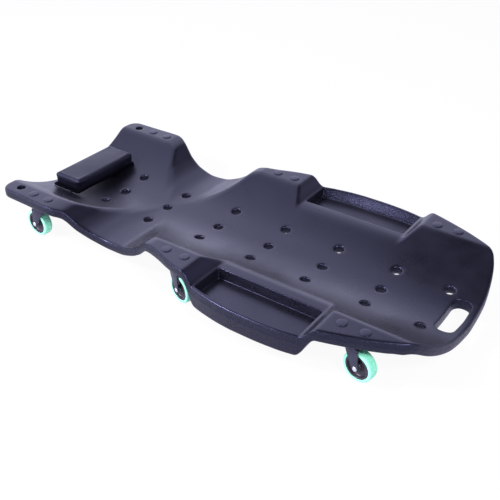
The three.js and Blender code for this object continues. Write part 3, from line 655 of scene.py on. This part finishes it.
def turned_to_axle(piece):
    """Turns a piece from the Z axis to the wheel's Y axis."""
    only(piece)
    piece.rotation_euler = (math.pi / 2, 0, 0)
    bpy.ops.object.transform_apply(rotation=True)
    return piece


def both_ends(half):
    """Profile of a piece that is the same at both ends, from one end's [radius, height] points."""
    return [(r, -h) for r, h in half[::-1]] + half


def rounded_plate(name, length, width, corner, bottom, thickness, bevel, centre=(0, 0)):
    """A plate: a plane that is resized, rounded at its corners, thickened and bevelled."""
    bpy.ops.object.select_all(action="DESELECT")
    bpy.ops.mesh.primitive_plane_add(size=1, location=(centre[0], centre[1], bottom))
    piece = bpy.context.object
    piece.scale = (length, width, 1)
    bpy.ops.object.transform_apply(location=True, scale=True)
    piece.name = piece.data.name = name
    bpy.ops.object.mode_set(mode="EDIT")
    bpy.ops.mesh.select_all(action="SELECT")
    bpy.ops.mesh.bevel(offset=corner, segments=10, affect="VERTICES")
    bpy.ops.mesh.extrude_region_move(TRANSFORM_OT_translate={"value": (0, 0, thickness)})
    bpy.ops.mesh.select_all(action="SELECT")
    bpy.ops.mesh.normals_make_consistent(inside=False)
    bpy.ops.object.mode_set(mode="OBJECT")
    edged(piece, bevel, 50, 3)
    return smoothed(piece)


# One caster, about its swivel axis and with its trail along +X.
WHEEL_RADIUS = 0.0306
TYRE_HALF = 0.0104
TYRE_INNER = 0.0245
TREAD_FROM, TREAD_FADE = 0.0297, 0.0006
HUB_HALF = 0.0098
PLAY = 0.0003


def tyre():
    half = [
        (TYRE_INNER, TYRE_HALF - 0.0010), (0.0252, TYRE_HALF - 0.0002), (0.0262, TYRE_HALF),
        (0.0280, TYRE_HALF), (0.0288, TYRE_HALF - 0.0003), (0.0296, TYRE_HALF - 0.0010),
        (0.0302, TYRE_HALF - 0.0020), (0.0305, TYRE_HALF - 0.0034), (WHEEL_RADIUS, TYRE_HALF - 0.0065),
    ]
    piece = turned_piece("tyre", both_ends(half[::-1])[::-1], sides=96, ring=True)
    edged(piece, 0.0004, 24)
    # Marks the tread band, which the finish paints darker: painted shade on the tread, in blotches like dirt.
    tread_mask = piece.data.attributes.new("tread", "FLOAT", "POINT")
    radii = [v.co.xy.length for v in piece.data.vertices]
    tread_mask.data.foreach_set("value", [min(1, max(0, (r - TREAD_FROM) / TREAD_FADE)) for r in radii])
    return smoothed(turned_to_axle(piece), 50)


def hub():
    half = [
        (0.0242, HUB_HALF - 0.0008), (0.0237, HUB_HALF), (0.0214, HUB_HALF), (0.0207, HUB_HALF - 0.0010),
        (0.0198, HUB_HALF - 0.0044), (0.0186, 0.0042), (0.0176, 0.0038), (0.0122, 0.0038),
        (0.0116, 0.0044), (0.0112, 0.0058), (0.0098, 0.0058), (0.0094, 0.0044), (0.0085, 0.0044),
        (0.0081, 0.0050), (0.0074, 0.0088), (0.0069, 0.0092), (0.0050, 0.0092), (0.0048, 0.0086),
    ]
    piece = turned_piece("hub", both_ends(half[::-1])[::-1], sides=72, ring=True)
    edged(piece, 0.00035, 25)
    return smoothed(turned_to_axle(piece), 40)


def axle():
    seat, sleeve = LEG_OUTER + PLAY, LEG_INNER - PLAY
    half = [
        (0.0047, 0.0090), (0.0047, sleeve), (0.0040, sleeve), (0.0040, seat), (0.0046, seat),
        (0.0047, seat + 0.0005), (0.0044, seat + 0.0012), (0.0036, seat + 0.0017), (0.0024, seat + 0.0020),
        (0, seat + 0.0022),
    ]
    piece = turned_piece("axle", both_ends(half), sides=36)
    edged(piece, 0.0002, 40)
    return smoothed(turned_to_axle(piece), 50)


def leg_fold(x):
    """How far a leg leans in, past its crease and again at its front."""
    return LEG_FOLD * max(0, LEG_CREASE - x) + FRONT_FOLD * max(0, FRONT_CREASE - x)


def crown_dip(x):
    """How far the crown dips towards its rear end."""
    return CROWN_DIP * float(soft_ramp(DIP_START, DIP_END, x, 0.3))


def fork():
    """Pressed fork: a sheet bent down at both sides of its crown, with creased legs and a rolled front."""
    leg_mid = LEG_INNER + SHEET / 2
    crown_mid = CROWN_BOTTOM + SHEET / 2
    front_line = [(0.0236, 0.0183), (0.0262, 0.0146), (0.0283, 0.0133), (0.0306, 0.0126), (0.033, 0.0113),
                  (0.036, 0.0092), (0.040, 0.0062), (0.045, 0.0034), (0.050, 0.0008), (0.056, -0.0024),
                  (0.062, -0.0057), (0.066, -0.0078), (crown_mid, -0.0106)]
    rear_line = [(0.0236, 0.0217), (0.0262, 0.0254), (0.0283, 0.0264), (0.0306, 0.0266), (0.036, 0.0256),
                 (0.045, 0.0243), (0.0551, 0.0236), (crown_mid, 0.023)]
    heights = [crown_mid, 0.0685, 0.066, 0.0622, 0.0585, 0.0555, 0.0526, 0.0495, 0.046, 0.043, 0.040,
               0.0375, 0.035, 0.0328, 0.0306, 0.0290, 0.0275, 0.0262, 0.0250, 0.0242, 0.0237]
    across = [leg_mid * s for s in (1, 0.72, 0.4, 0, -0.4, -0.72, -1)]
    path = [(leg_mid, h) for h in heights[:0:-1]] + [(y, crown_mid) for y in across]
    path += [(-leg_mid, h) for h in heights[1:]]
    last_column, last_row = 15, len(path) - 1
    bpy.ops.object.select_all(action="DESELECT")
    bpy.ops.mesh.primitive_grid_add(x_subdivisions=last_column, y_subdivisions=last_row, size=1)
    piece = bpy.context.object
    piece.name = piece.data.name = "fork"
    front_edge = []
    for vertex in piece.data.vertices:
        column, row = round((vertex.co.x + 0.5) * last_column), round((vertex.co.y + 0.5) * last_row)
        y, z = path[row]
        front, rear = float(follow(front_line, z)), float(follow(rear_line, z))
        if abs(y) < leg_mid * 0.99:
            front = min(front, -math.sqrt(CROWN_FRONT ** 2 - y ** 2))
        x = front + (rear - front) * column / last_column
        dipped = crown_dip(x) * min(1, max(0, (z - 0.060) / 0.009))
        vertex.co = (x, y * (1 - leg_fold(x) / leg_mid), z - dipped)
        if column == 0:
            front_edge.append(vertex.co.copy())

    def on_front(co):
        return co.z > ROLL_FROM and any((co - place).length < 1e-6 for place in front_edge)

    def on_bend(co):
        """Whether a point lies on the line where the crown turns down into a leg."""
        on_crown = abs(co.z - (crown_mid - crown_dip(co.x))) < 1e-6
        return on_crown and abs(abs(co.y) - leg_mid * (1 - leg_fold(co.x) / leg_mid)) < 1e-6

    select_edges(piece, lambda a, b: on_front(a) and on_front(b))
    bpy.ops.mesh.extrude_region_move(TRANSFORM_OT_translate={"value": (0, 0, 0)})
    bpy.ops.object.mode_set(mode="OBJECT")
    for vertex in piece.data.vertices:
        if not vertex.select:
            continue
        x, y, z = vertex.co
        roll = min(1, max(0, (z - ROLL_FROM) / ROLL_REACH))
        side = min(1, abs(y) / LIP_HALF)
        if z < crown_mid - 1e-5:
            vertex.co = (x - ROLL_BACK * roll, y - math.copysign(ROLL_IN * roll, y), z - ROLL_DOWN * roll)
        else:
            vertex.co = (x - LIP_FORWARD - LIP_SWEEP * side, y * (1 - LIP_IN * side), z - LIP_DOWN)
    select_edges(piece, lambda a, b: on_bend(a) and on_bend(b))
    bpy.ops.mesh.bevel(offset=FORK_BEND, segments=4, affect="EDGES")
    bpy.ops.mesh.select_all(action="SELECT")
    bpy.ops.mesh.remove_doubles(threshold=1e-5)
    bpy.ops.mesh.normals_make_consistent(inside=False)
    bpy.ops.object.mode_set(mode="OBJECT")
    modified(piece, "SOLIDIFY", thickness=SHEET, offset=0)
    edged(piece, 0.0005, 50)
    return smoothed(piece, 30)


def mounting_plate():
    return rounded_plate("plate", 0.066, 0.030, 0.0145, PLATE_BOTTOM, PLATE_THICKNESS, 0.0004)


def ball_race():
    low, high = CROWN_TOP + PLAY, PLATE_BOTTOM - PLAY
    return smoothed(turned_piece("race", [
        (0.0048, low), (0.0124, low), (0.0136, low + 0.0004), (0.0146, low + 0.0013),
        (0.0150, low + 0.0024), (0.0150, high - 0.0014), (0.0142, high - 0.0006), (0.0142, high), (0.0048, high),
    ], sides=56, ring=True), 30)


def kingpin():
    head = CROWN_BOTTOM - PLAY
    piece = turned_piece("kingpin", [
        (0, head - 0.0030), (0.0035, head - 0.0029), (0.0056, head - 0.0026), (0.0070, head - 0.0020),
        (0.0078, head - 0.0011), (0.0080, head), (0.0045, head), (0.0045, PLATE_BOTTOM + PLATE_THICKNESS),
        (0, PLATE_BOTTOM + PLATE_THICKNESS),
    ], sides=32)
    return smoothed(piece, 40)


def rivet():
    """Broad low head on the tab, shank through tab and plate, and the tail under the plate."""
    seat, tail = TAB_HEIGHT + PLAY, PLATE_BOTTOM - PLAY
    piece = turned_piece("rivet", [
        (0, tail - 0.0025), (0.0032, tail - 0.0024), (0.0046, tail - 0.0017), (0.0050, tail - 0.0006),
        (0.0050, tail), (0.0035, tail), (0.0035, seat), (0.0104, seat), (0.0104, seat + 0.0003),
        (0.01025, seat + 0.0007), (0.0098, seat + 0.00105), (0.0090, seat + 0.0013),
        (0.0070, seat + 0.00155), (0.0045, seat + 0.0017), (0.0020, seat + 0.00178), (0, seat + 0.0018),
    ], sides=48)
    return smoothed(piece, 50)


def headrest_screw():
    seat, tip = SCREW_SEAT, BOARD_BOTTOM + BOARD_THICKNESS
    piece = turned_piece("screw", [
        (0, seat - 0.0021), (0.0018, seat - 0.0021), (0.0021, seat - 0.0030), (0.0040, seat - 0.0028),
        (0.0048, seat - 0.0020), (0.0050, seat - 0.0006), (0.0050, seat), (0.0025, seat), (0.0025, tip),
        (0, tip),
    ], sides=32)
    return smoothed(piece, 40)


def headrest_board():
    return rounded_plate("board", BOARD_LENGTH, BOARD_WIDTH, 0.006, BOARD_BOTTOM, BOARD_THICKNESS, 0.0008,
                         (PAD_CENTRE, 0))


def headrest_pad():
    """Foam block in a tight cover, swelled by a cloth simulation."""
    low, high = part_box("headrest_pad")
    low.y, high.y = PAD_RIGHT, PAD_LEFT
    high.z -= PAD_HEADROOM
    low.z -= BOARD_THICKNESS + PAD_OVERLAP
    across, middle = (low.y + high.y) / 2, (low.z + high.z) / 2
    bpy.ops.object.select_all(action="DESELECT")
    bpy.ops.mesh.primitive_cube_add(size=1, location=(PAD_CENTRE, across, middle - PAD_SINK))
    piece = bpy.context.object
    piece.scale = (PAD_LENGTH - PAD_SLACK, high.y - low.y - PAD_SLACK, high.z - low.z - PAD_SLACK_UP)
    bpy.ops.object.transform_apply(location=True, scale=True)
    piece.name = piece.data.name = "pad"
    select_edges(piece, lambda a, b: min(a.z, b.z) > middle)
    bpy.ops.mesh.bevel(offset=PAD_TOP_EDGE, segments=5, affect="EDGES")
    bpy.ops.object.mode_set(mode="OBJECT")
    foot = min(vertex.co.z for vertex in piece.data.vertices)
    select_edges(piece, lambda a, b: max(a.z, b.z) > foot + 1e-6)
    bpy.ops.mesh.bevel(offset=PAD_CORNER, segments=5, affect="EDGES")
    bpy.ops.object.mode_set(mode="OBJECT")
    modified(piece, "REMESH", mode="VOXEL", voxel_size=PAD_VOXEL, use_smooth_shade=True)
    swell(piece, PAD_SWELL)
    for vertex in piece.data.vertices:
        x, y, z = vertex.co
        tall = (z - low.z) / (high.z - low.z)
        drawn = 1 - PAD_FOOT * max(0, 1 - tall / PAD_FOOT_SHARE) ** 1.3
        crown = max(0, 1 - ((x - PAD_CENTRE) / (PAD_LENGTH / 2)) ** 2)
        crown *= max(0, 1 - ((y - across) / PAD_CROWN_HALF) ** 2)
        vertex.co.x = PAD_CENTRE + (x - PAD_CENTRE) * drawn
        vertex.co.y = across + (y - across) * (1 + (drawn - 1) * PAD_FOOT_ENDS)
        vertex.co.z = z + PAD_CROWN * crown * tall
    fit_inside(piece, low, high)
    piece.data.update()
    modified(piece, "SUBSURF", levels=1, render_levels=1)
    return smoothed(piece, 70)


CLOTH_STEPS = 20


def swell(piece, most):
    """Blows the piece up as a sewn cover does over foam, by no more than a set distance."""
    rest = np.zeros(len(piece.data.vertices) * 3)
    piece.data.vertices.foreach_get("co", rest)
    only(piece)
    cloth = piece.modifiers.new("cloth", "CLOTH")
    cloth.settings.use_pressure = True
    cloth.settings.uniform_pressure_force = 4
    cloth.settings.effector_weights.gravity = 0
    cloth.settings.quality = 5
    cloth.point_cache.frame_start, cloth.point_cache.frame_end = 1, CLOTH_STEPS
    scene = bpy.context.scene
    for step in range(1, CLOTH_STEPS + 1):
        scene.frame_set(step)
    bpy.ops.object.modifier_apply(modifier=cloth.name)
    scene.frame_set(1)
    moved = np.zeros(len(rest))
    piece.data.vertices.foreach_get("co", moved)
    shift = (moved - rest).reshape(-1, 3)
    length = np.linalg.norm(shift, axis=1)[:, None]
    shift *= np.minimum(1, most / np.maximum(length, 1e-9))
    piece.data.vertices.foreach_set("co", (rest.reshape(-1, 3) + shift).ravel())
    piece.data.update()


def fit_inside(piece, low, high):
    """Brings a piece back inside the box of the solid that it stands for."""
    co = np.zeros(len(piece.data.vertices) * 3)
    piece.data.vertices.foreach_get("co", co)
    co = co.reshape(-1, 3)
    now_low, now_high = co.min(0), co.max(0)
    low, high = np.array(low), np.array(high)
    scale = np.minimum(1, (high - low) / (now_high - now_low))
    centre = (now_low + now_high) / 2
    co = (low + high) / 2 + (co - centre) * scale
    piece.data.vertices.foreach_set("co", co.ravel())
    piece.data.update()


# Shader groups that the finishes share, and short ways to add their nodes.
def shader_group(name, values, results):
    """A new group with number inputs, set to the values given, and number outputs."""
    group = bpy.data.node_groups.new(name, "ShaderNodeTree")
    for label, value in values.items():
        socket = group.interface.new_socket(name=label, in_out="INPUT", socket_type="NodeSocketFloat")
        socket.default_value = value
    for label in results:
        group.interface.new_socket(name=label, in_out="OUTPUT", socket_type="NodeSocketFloat")
    return group, group.nodes.new("NodeGroupInput").outputs, group.nodes.new("NodeGroupOutput").inputs


def node(tree, kind, inputs=None, **settings):
    """Adds a shader node, with its settings and the values or links of its inputs."""
    made = tree.nodes.new("ShaderNode" + kind)
    for name, value in settings.items():
        setattr(made, name, value)
    for key, value in (inputs or {}).items():
        if isinstance(value, bpy.types.NodeSocket):
            tree.links.new(value, made.inputs[key])
        else:
            made.inputs[key].default_value = value
    return made


def maths(tree, operation, first, second, **settings):
    return node(tree, "Math", {0: first, 1: second}, operation=operation, **settings).outputs["Value"]


def ranged(tree, value, low, high, to_low=0.0, to_high=1.0, **settings):
    """A value brought from one range to another and held at its ends."""
    inputs = {"Value": value, "From Min": low, "From Max": high, "To Min": to_low, "To Max": to_high}
    return node(tree, "MapRange", inputs, **settings).outputs["Result"]


def blended(tree, factor, first, second):
    """A mix of two colours, each a link or three numbers."""
    first, second = (c if isinstance(c, bpy.types.NodeSocket) else (*c, 1) for c in (first, second))
    return node(tree, "Mix", {"Factor": factor, "A": first, "B": second}, data_type="RGBA").outputs[2]


def noise(tree, place, scale, detail, roughness=0.5):
    inputs = {"Vector": place, "Scale": scale, "Detail": detail, "Roughness": roughness}
    return node(tree, "TexNoise", inputs).outputs["Fac"]


def bumped(tree, height, strength, distance, under=None):
    """A bump, laid over the one under it where there is one."""
    inputs = {"Height": height, "Strength": strength, "Distance": distance}
    if under:
        inputs["Normal"] = under
    return node(tree, "Bump", inputs).outputs["Normal"]


def grain_group():
    """Fine moulded grain: a height, a slow mottle for colour and gloss, and small specks."""
    group, given, results = shader_group(
        "moulded_grain", {"Scale": 900.0, "Pebble": 0.5, "Slow Scale": 14.0}, ("Height", "Mottle", "Speck"))
    place = node(group, "TexCoord").outputs["Object"]
    fine = noise(group, place, given["Scale"], 3.0, 0.6)
    cells = node(group, "TexVoronoi", {"Vector": place, "Scale": given["Scale"]}, feature="SMOOTH_F1")
    mixed = node(group, "Mix", {"Factor": given["Pebble"], "A": fine, "B": cells.outputs["Distance"]})
    group.links.new(mixed.outputs["Result"], results["Height"])
    group.links.new(noise(group, place, given["Slow Scale"], 4.0, 0.55), results["Mottle"])
    group.links.new(noise(group, place, 420.0, 1.0), results["Speck"])
    return group


def wear_group():
    """Fine handling scratches and scuffs: a mask and a height."""
    group, given, results = shader_group("scuffs", {"Scale": 30.0, "Amount": 0.3}, ("Mask", "Height"))
    place = node(group, "TexCoord").outputs["Object"]
    lines = None
    for turn, stretch in ((0.5, (1, 14, 1)), (2.1, (1, 18, 1)), (1.2, (1, 10, 6))):
        aimed = node(group, "Mapping", {"Vector": place, "Rotation": (0, 0, turn), "Scale": stretch})
        line = ranged(group, noise(group, aimed.outputs["Vector"], given["Scale"], 2.0), 0.66, 0.72)
        lines = maths(group, "MAXIMUM", lines, line) if lines else line
    group.links.new(maths(group, "MULTIPLY", lines, given["Amount"]), results["Mask"])
    group.links.new(lines, results["Height"])
    return group


def pebble_group():
    """Coarse moulded pebble for steep walls: a height, and a mask by how steep the wall stands."""
    group, given, results = shader_group("wall_pebble", {"Scale": 380.0}, ("Height", "Steep"))
    place = node(group, "TexCoord").outputs["Object"]
    upright = node(group, "NewGeometry").outputs["True Normal"]
    parts = node(group, "SeparateXYZ", {"Vector": upright})
    level = node(group, "Math", {0: parts.outputs["Z"]}, operation="ABSOLUTE").outputs["Value"]
    group.links.new(noise(group, place, given["Scale"], 2.0, 0.65), results["Height"])
    group.links.new(ranged(group, level, 0.75, 0.45), results["Steep"])
    return group


PEBBLE = pebble_group()
GRAIN = grain_group()
SCUFFS = wear_group()
FINISHES = {}
GLOSS_SWING = 0.06
SHEEN = (0.55, 0.55, 1.0)


def finish(name, colour, pale, roughness, grain, bump, metallic=0.0, specular=0.5, scuffs=0.25, pebble=0.4,
           slow=14.0, speck=0.0, tint=(1, 1, 1), walls=False, tread=None):
    """A finish with grain, a slow change of colour and gloss, and fine scuffs."""
    material = bpy.data.materials.new(name)
    material.use_nodes = True
    tree = material.node_tree
    tree.nodes.clear()
    sizes = {"Scale": grain, "Pebble": pebble, "Slow Scale": slow}
    texture = node(tree, "Group", sizes, node_tree=GRAIN).outputs
    marks = node(tree, "Group", {"Amount": scuffs}, node_tree=SCUFFS).outputs
    shade = blended(tree, ranged(tree, texture["Mottle"], 0.35, 0.65), colour, pale)
    shade = blended(tree, marks["Mask"], shade, [min(1, c * 1.35 + 0.006) for c in pale])
    if speck:
        dots = ranged(tree, texture["Speck"], 0.62, 0.72, 0, speck)
        shade = blended(tree, dots, shade, [min(1, c * 2.2) for c in pale])
    # The tread band is painted darker: painted shade, broken into blotches like dirt.
    if tread:
        band = node(tree, "Attribute", attribute_name="tread").outputs["Fac"]
        tread_shade_and_dirt = ranged(tree, texture["Speck"], 0.3, 0.7, 0.45, 1.0)
        shade = blended(tree, maths(tree, "MULTIPLY", band, tread_shade_and_dirt), shade, tread)
    gloss = ranged(tree, texture["Mottle"], 0.3, 0.7, roughness - GLOSS_SWING, roughness + GLOSS_SWING)
    relief = bumped(tree, texture["Height"], bump, 0.0004)
    if walls:
        pebbles = node(tree, "Group", node_tree=PEBBLE).outputs
        relief = bumped(tree, pebbles["Height"], pebbles["Steep"], 0.0018, relief)
    surface = node(tree, "BsdfPrincipled", {
        "Base Color": shade,
        "Metallic": metallic,
        "Specular IOR Level": specular,
        "Specular Tint": (*tint, 1),
        "Roughness": maths(tree, "ADD", gloss, marks["Mask"], use_clamp=True),
        "Normal": bumped(tree, marks["Height"], 0.03, 0.0002, relief),
    })
    node(tree, "OutputMaterial", {"Surface": surface.outputs["BSDF"]})
    FINISHES[name] = material


finish("deck_plastic", (0.004, 0.004, 0.006), (0.006, 0.006, 0.009), 0.3, 600, 0.16, specular=0.43,
       scuffs=0.03, speck=0.04, tint=SHEEN, walls=True)
finish("pad_vinyl", (0.004, 0.004, 0.007), (0.006, 0.006, 0.010), 0.42, 1500, 0.25, specular=0.34,
       scuffs=0.02, pebble=0.8, tint=SHEEN)
# The board's finish is painted shade: nearly black and almost without gloss, so that the board's edge shows as
# the black shadow under the pad.
finish("board_plastic", (0.001, 0.001, 0.002), (0.002, 0.002, 0.003), 0.85, 900, 0.2, specular=0.03,
       scuffs=0.0, tint=SHEEN)
finish("rivet_plastic", (0.010, 0.010, 0.015), (0.014, 0.014, 0.020), 0.38, 1000, 0.12, scuffs=0.08,
       tint=SHEEN)
finish("hub_plastic", (0.022, 0.018, 0.026), (0.028, 0.023, 0.032), 0.3, 900, 0.06, scuffs=0.06)
# The tread colour is painted shade for the tread band, blotched like dirt.
finish("tyre_green", (0.33, 0.91, 0.60), (0.36, 0.95, 0.64), 0.4, 700, 0.12, specular=0.35, scuffs=0.03,
       slow=40.0, tread=(0.20, 0.64, 0.40))
finish("dark_steel", (0.020, 0.021, 0.027), (0.026, 0.027, 0.034), 0.34, 1200, 0.10, scuffs=0.10,
       tint=SHEEN)
finish("zinc_steel", (0.78, 0.79, 0.82), (0.86, 0.87, 0.90), 0.2, 800, 0.04, metallic=1.0, scuffs=0.1,
       slow=90.0)


def dress(piece, slot, body, *nodes, finish_name=None):
    """Gives a piece its finish, the body that it rides on and the solid that it stands for."""
    piece.data.materials.clear()
    piece.data.materials.append(FINISHES[finish_name or slot])
    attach(piece, body)
    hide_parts(*nodes)
    return piece


def placed(master, name, matrix):
    """A copy of a piece with its own mesh, put at its place."""
    copy = master.copy()
    copy.data = master.data.copy()
    copy.name = copy.data.name = name
    bpy.context.scene.collection.objects.link(copy)
    copy.data.transform(matrix)
    return copy


deck = new_piece(deck_mesh())
only(deck)
bpy.ops.object.shade_smooth()
dress(deck, "deck_plastic", DECK_BODY, "deck")
pad = dress(headrest_pad(), "pad_vinyl", DECK_BODY, "headrest_pad")
# The board wears the painted-shade finish, so it reads as the shadow under the pad.
dress(headrest_board(), "board_plastic", DECK_BODY, "headrest_board")
screw = headrest_screw()
for number, (x, y) in enumerate(SCREW_PLACES, 1):
    dress(placed(screw, f"screw_{number}", Matrix.Translation((x, y, 0))), "zinc_steel", DECK_BODY,
          f"headrest_screw_{number}")

# Each caster's pieces: how it is made, its slot, the body that it rides on, and what it is placed by.
CASTER_PARTS = {
    "tyre": (tyre, "tyre_green", "wheel", "axle_line"),
    "hub": (hub, "hub_plastic", "wheel", "axle_line"),
    "axle": (axle, "zinc_steel", "fork", "axle_line"),
    "fork": (fork, "dark_steel", "fork", "swivel"),
    "plate": (mounting_plate, "dark_steel", "deck", "tab"),
    "race": (ball_race, "dark_steel", "deck", "tab"),
    "kingpin": (kingpin, "zinc_steel", "deck", "tab"),
}
masters = {part: make() for part, (make, *_) in CASTER_PARTS.items()}
head = rivet()
for caster, (x, y, heading) in CASTERS.items():
    tab = Matrix.Translation((x, y, 0))
    swivel = tab @ Matrix.Rotation(math.radians(heading), 4, "Z")
    axle_line = swivel @ Matrix.Translation((TRAIL, 0, AXLE_HEIGHT))
    places = {"tab": tab, "swivel": swivel, "axle_line": axle_line}
    bodies = {"deck": DECK_BODY, "fork": f"{caster}_fork", "wheel": f"{caster}_wheel"}
    for part, (_, slot, body, place) in CASTER_PARTS.items():
        piece = placed(masters[part], f"{part}_{caster}", places[place])
        dress(piece, slot, bodies[body], f"{caster}_{part}")
    for number, end in enumerate((-1, 1), 1):
        place = Matrix.Translation((x + end * RIVET_SPACING / 2, y, 0))
        piece = placed(head, f"rivet_{caster}_{number}", place)
        dress(piece, "board_plastic", DECK_BODY, f"{caster}_rivet_{number}", finish_name="rivet_plastic")
for master in [*masters.values(), head, screw]:
    bpy.data.objects.remove(master)


# Floor, light and camera.
FLOOR_SHEEN = (0.86, 0.86, 1.12)
LAMP_COLOUR = (0.94, 0.94, 1.04)
DOME_LIGHT = 1.72
DOME_COLOUR = (0.84, 0.84, 1.1)
DOME_SIDE = (-0.974, 0.225, 0)
WHITE = (1, 1, 1)


def floor():
    """A floor that shows white to the camera and in the gloss, and still takes the object's shadow."""
    bpy.ops.object.select_all(action="DESELECT")
    bpy.ops.mesh.primitive_plane_add(size=60, location=(0, 0, -0.0003))
    plane = bpy.context.object
    plane.name = "floor"
    material = bpy.data.materials.new("floor_white")
    material.use_nodes = True
    tree = material.node_tree
    tree.nodes.clear()
    rays = node(tree, "LightPath").outputs
    lit = node(tree, "BsdfDiffuse", {"Color": (0.7, 0.7, 0.7, 1)}).outputs["BSDF"]
    shown = blended(tree, rays["Is Glossy Ray"], WHITE, FLOOR_SHEEN)
    white = node(tree, "Emission", {"Color": shown, "Strength": 1.0}).outputs["Emission"]
    share = maths(tree, "MAXIMUM", maths(tree, "MULTIPLY", rays["Is Camera Ray"], 0.94),
                  maths(tree, "MULTIPLY", rays["Is Glossy Ray"], 0.9))
    mixed = node(tree, "MixShader", {0: share, 1: lit, 2: white})
    node(tree, "OutputMaterial", {"Surface": mixed.outputs["Shader"]})
    plane.data.materials.append(material)


def lamp(name, place, aim, size, brightness):
    """A soft panel of a set brightness, turned to the point that it lights."""
    data = bpy.data.lights.new(name, "AREA")
    data.shape = "RECTANGLE"
    data.size, data.size_y = size
    data.energy = math.pi * size[0] * size[1] * brightness
    data.color = LAMP_COLOUR
    made = bpy.data.objects.new(name, data)
    bpy.context.scene.collection.objects.link(made)
    made.location = place
    made.rotation_euler = (Vector(aim) - Vector(place)).to_track_quat("-Z", "Y").to_euler()
    made.visible_camera = False


floor()
lamp("head_panel", (-1.1, 0.6, 1.7), (-1.1, 0.6, 0), (1.6, 1.8), 1.5)
lamp("front_panel", (-0.79, -2.18, 0.62), (0, 0, 0.05), (1.4, 1.0), 4)
lamp("key_spot", (-1.35, -1.5, 1.75), (0, 0, 0.05), (0.3, 0.3), 220)
lamp("foot_spot", (1.55, -0.9, 1.75), (0, 0, 0.05), (0.4, 0.4), 80)


def dome():
    """A soft studio dome: bright round one side, dim overhead, and plain white to the camera."""
    world = bpy.data.worlds.new("studio")
    bpy.context.scene.world = world
    world.use_nodes = True
    tree = world.node_tree
    tree.nodes.clear()
    aim = node(tree, "TexCoord").outputs["Generated"]
    height = node(tree, "SeparateXYZ", {"Vector": aim}).outputs["Z"]
    level = node(tree, "VectorMath", {0: aim, 1: (1, 1, 0)}, operation="MULTIPLY").outputs["Vector"]
    around = node(tree, "VectorMath", {0: level}, operation="NORMALIZE").outputs["Vector"]
    left = node(tree, "VectorMath", {0: around, 1: DOME_SIDE}, operation="DOT_PRODUCT").outputs["Value"]

    def smooth(value, *limits):
        return ranged(tree, value, *limits, interpolation_type="SMOOTHSTEP")

    upper = smooth(height, 0.55, 0.9, 1.0, 0.08)
    low = smooth(height, 0.12, 0.5, 1.45, 1.0)
    horizon = smooth(height, -0.3, 0.3, 0.1, 1.0)
    wrap = smooth(left, 0.05, 0.6, 0.42, 1.0)
    light = DOME_LIGHT
    for share in (upper, low, horizon, wrap):
        light = maths(tree, "MULTIPLY", share, light)
    seen = node(tree, "LightPath").outputs["Is Camera Ray"]
    strength = node(tree, "Mix", {"Factor": seen, "A": light, "B": 1.0}).outputs["Result"]
    colour = blended(tree, seen, DOME_COLOUR, WHITE)
    background = node(tree, "Background", {"Color": colour, "Strength": strength})
    node(tree, "OutputWorld", {"Surface": background.outputs["Background"]})


dome()

# The camera as fitted to the photograph: a lens of 770.4 pixels in a 500-pixel frame, on a 36 mm sensor.
camera_data = bpy.data.cameras.new("camera")
camera_data.sensor_width = 36
camera_data.lens = 770.4 / 500 * 36
camera_data.clip_start = 0.01
camera = bpy.data.objects.new("camera", camera_data)
camera.location = (0.81882, -1.12211, 0.92587)
camera.rotation_euler = (math.radians(90 - 33.38), 0, math.radians(35.54))
bpy.context.scene.collection.objects.link(camera)
bpy.context.scene.camera = camera

bpy.context.scene.view_settings.view_transform = "Standard"
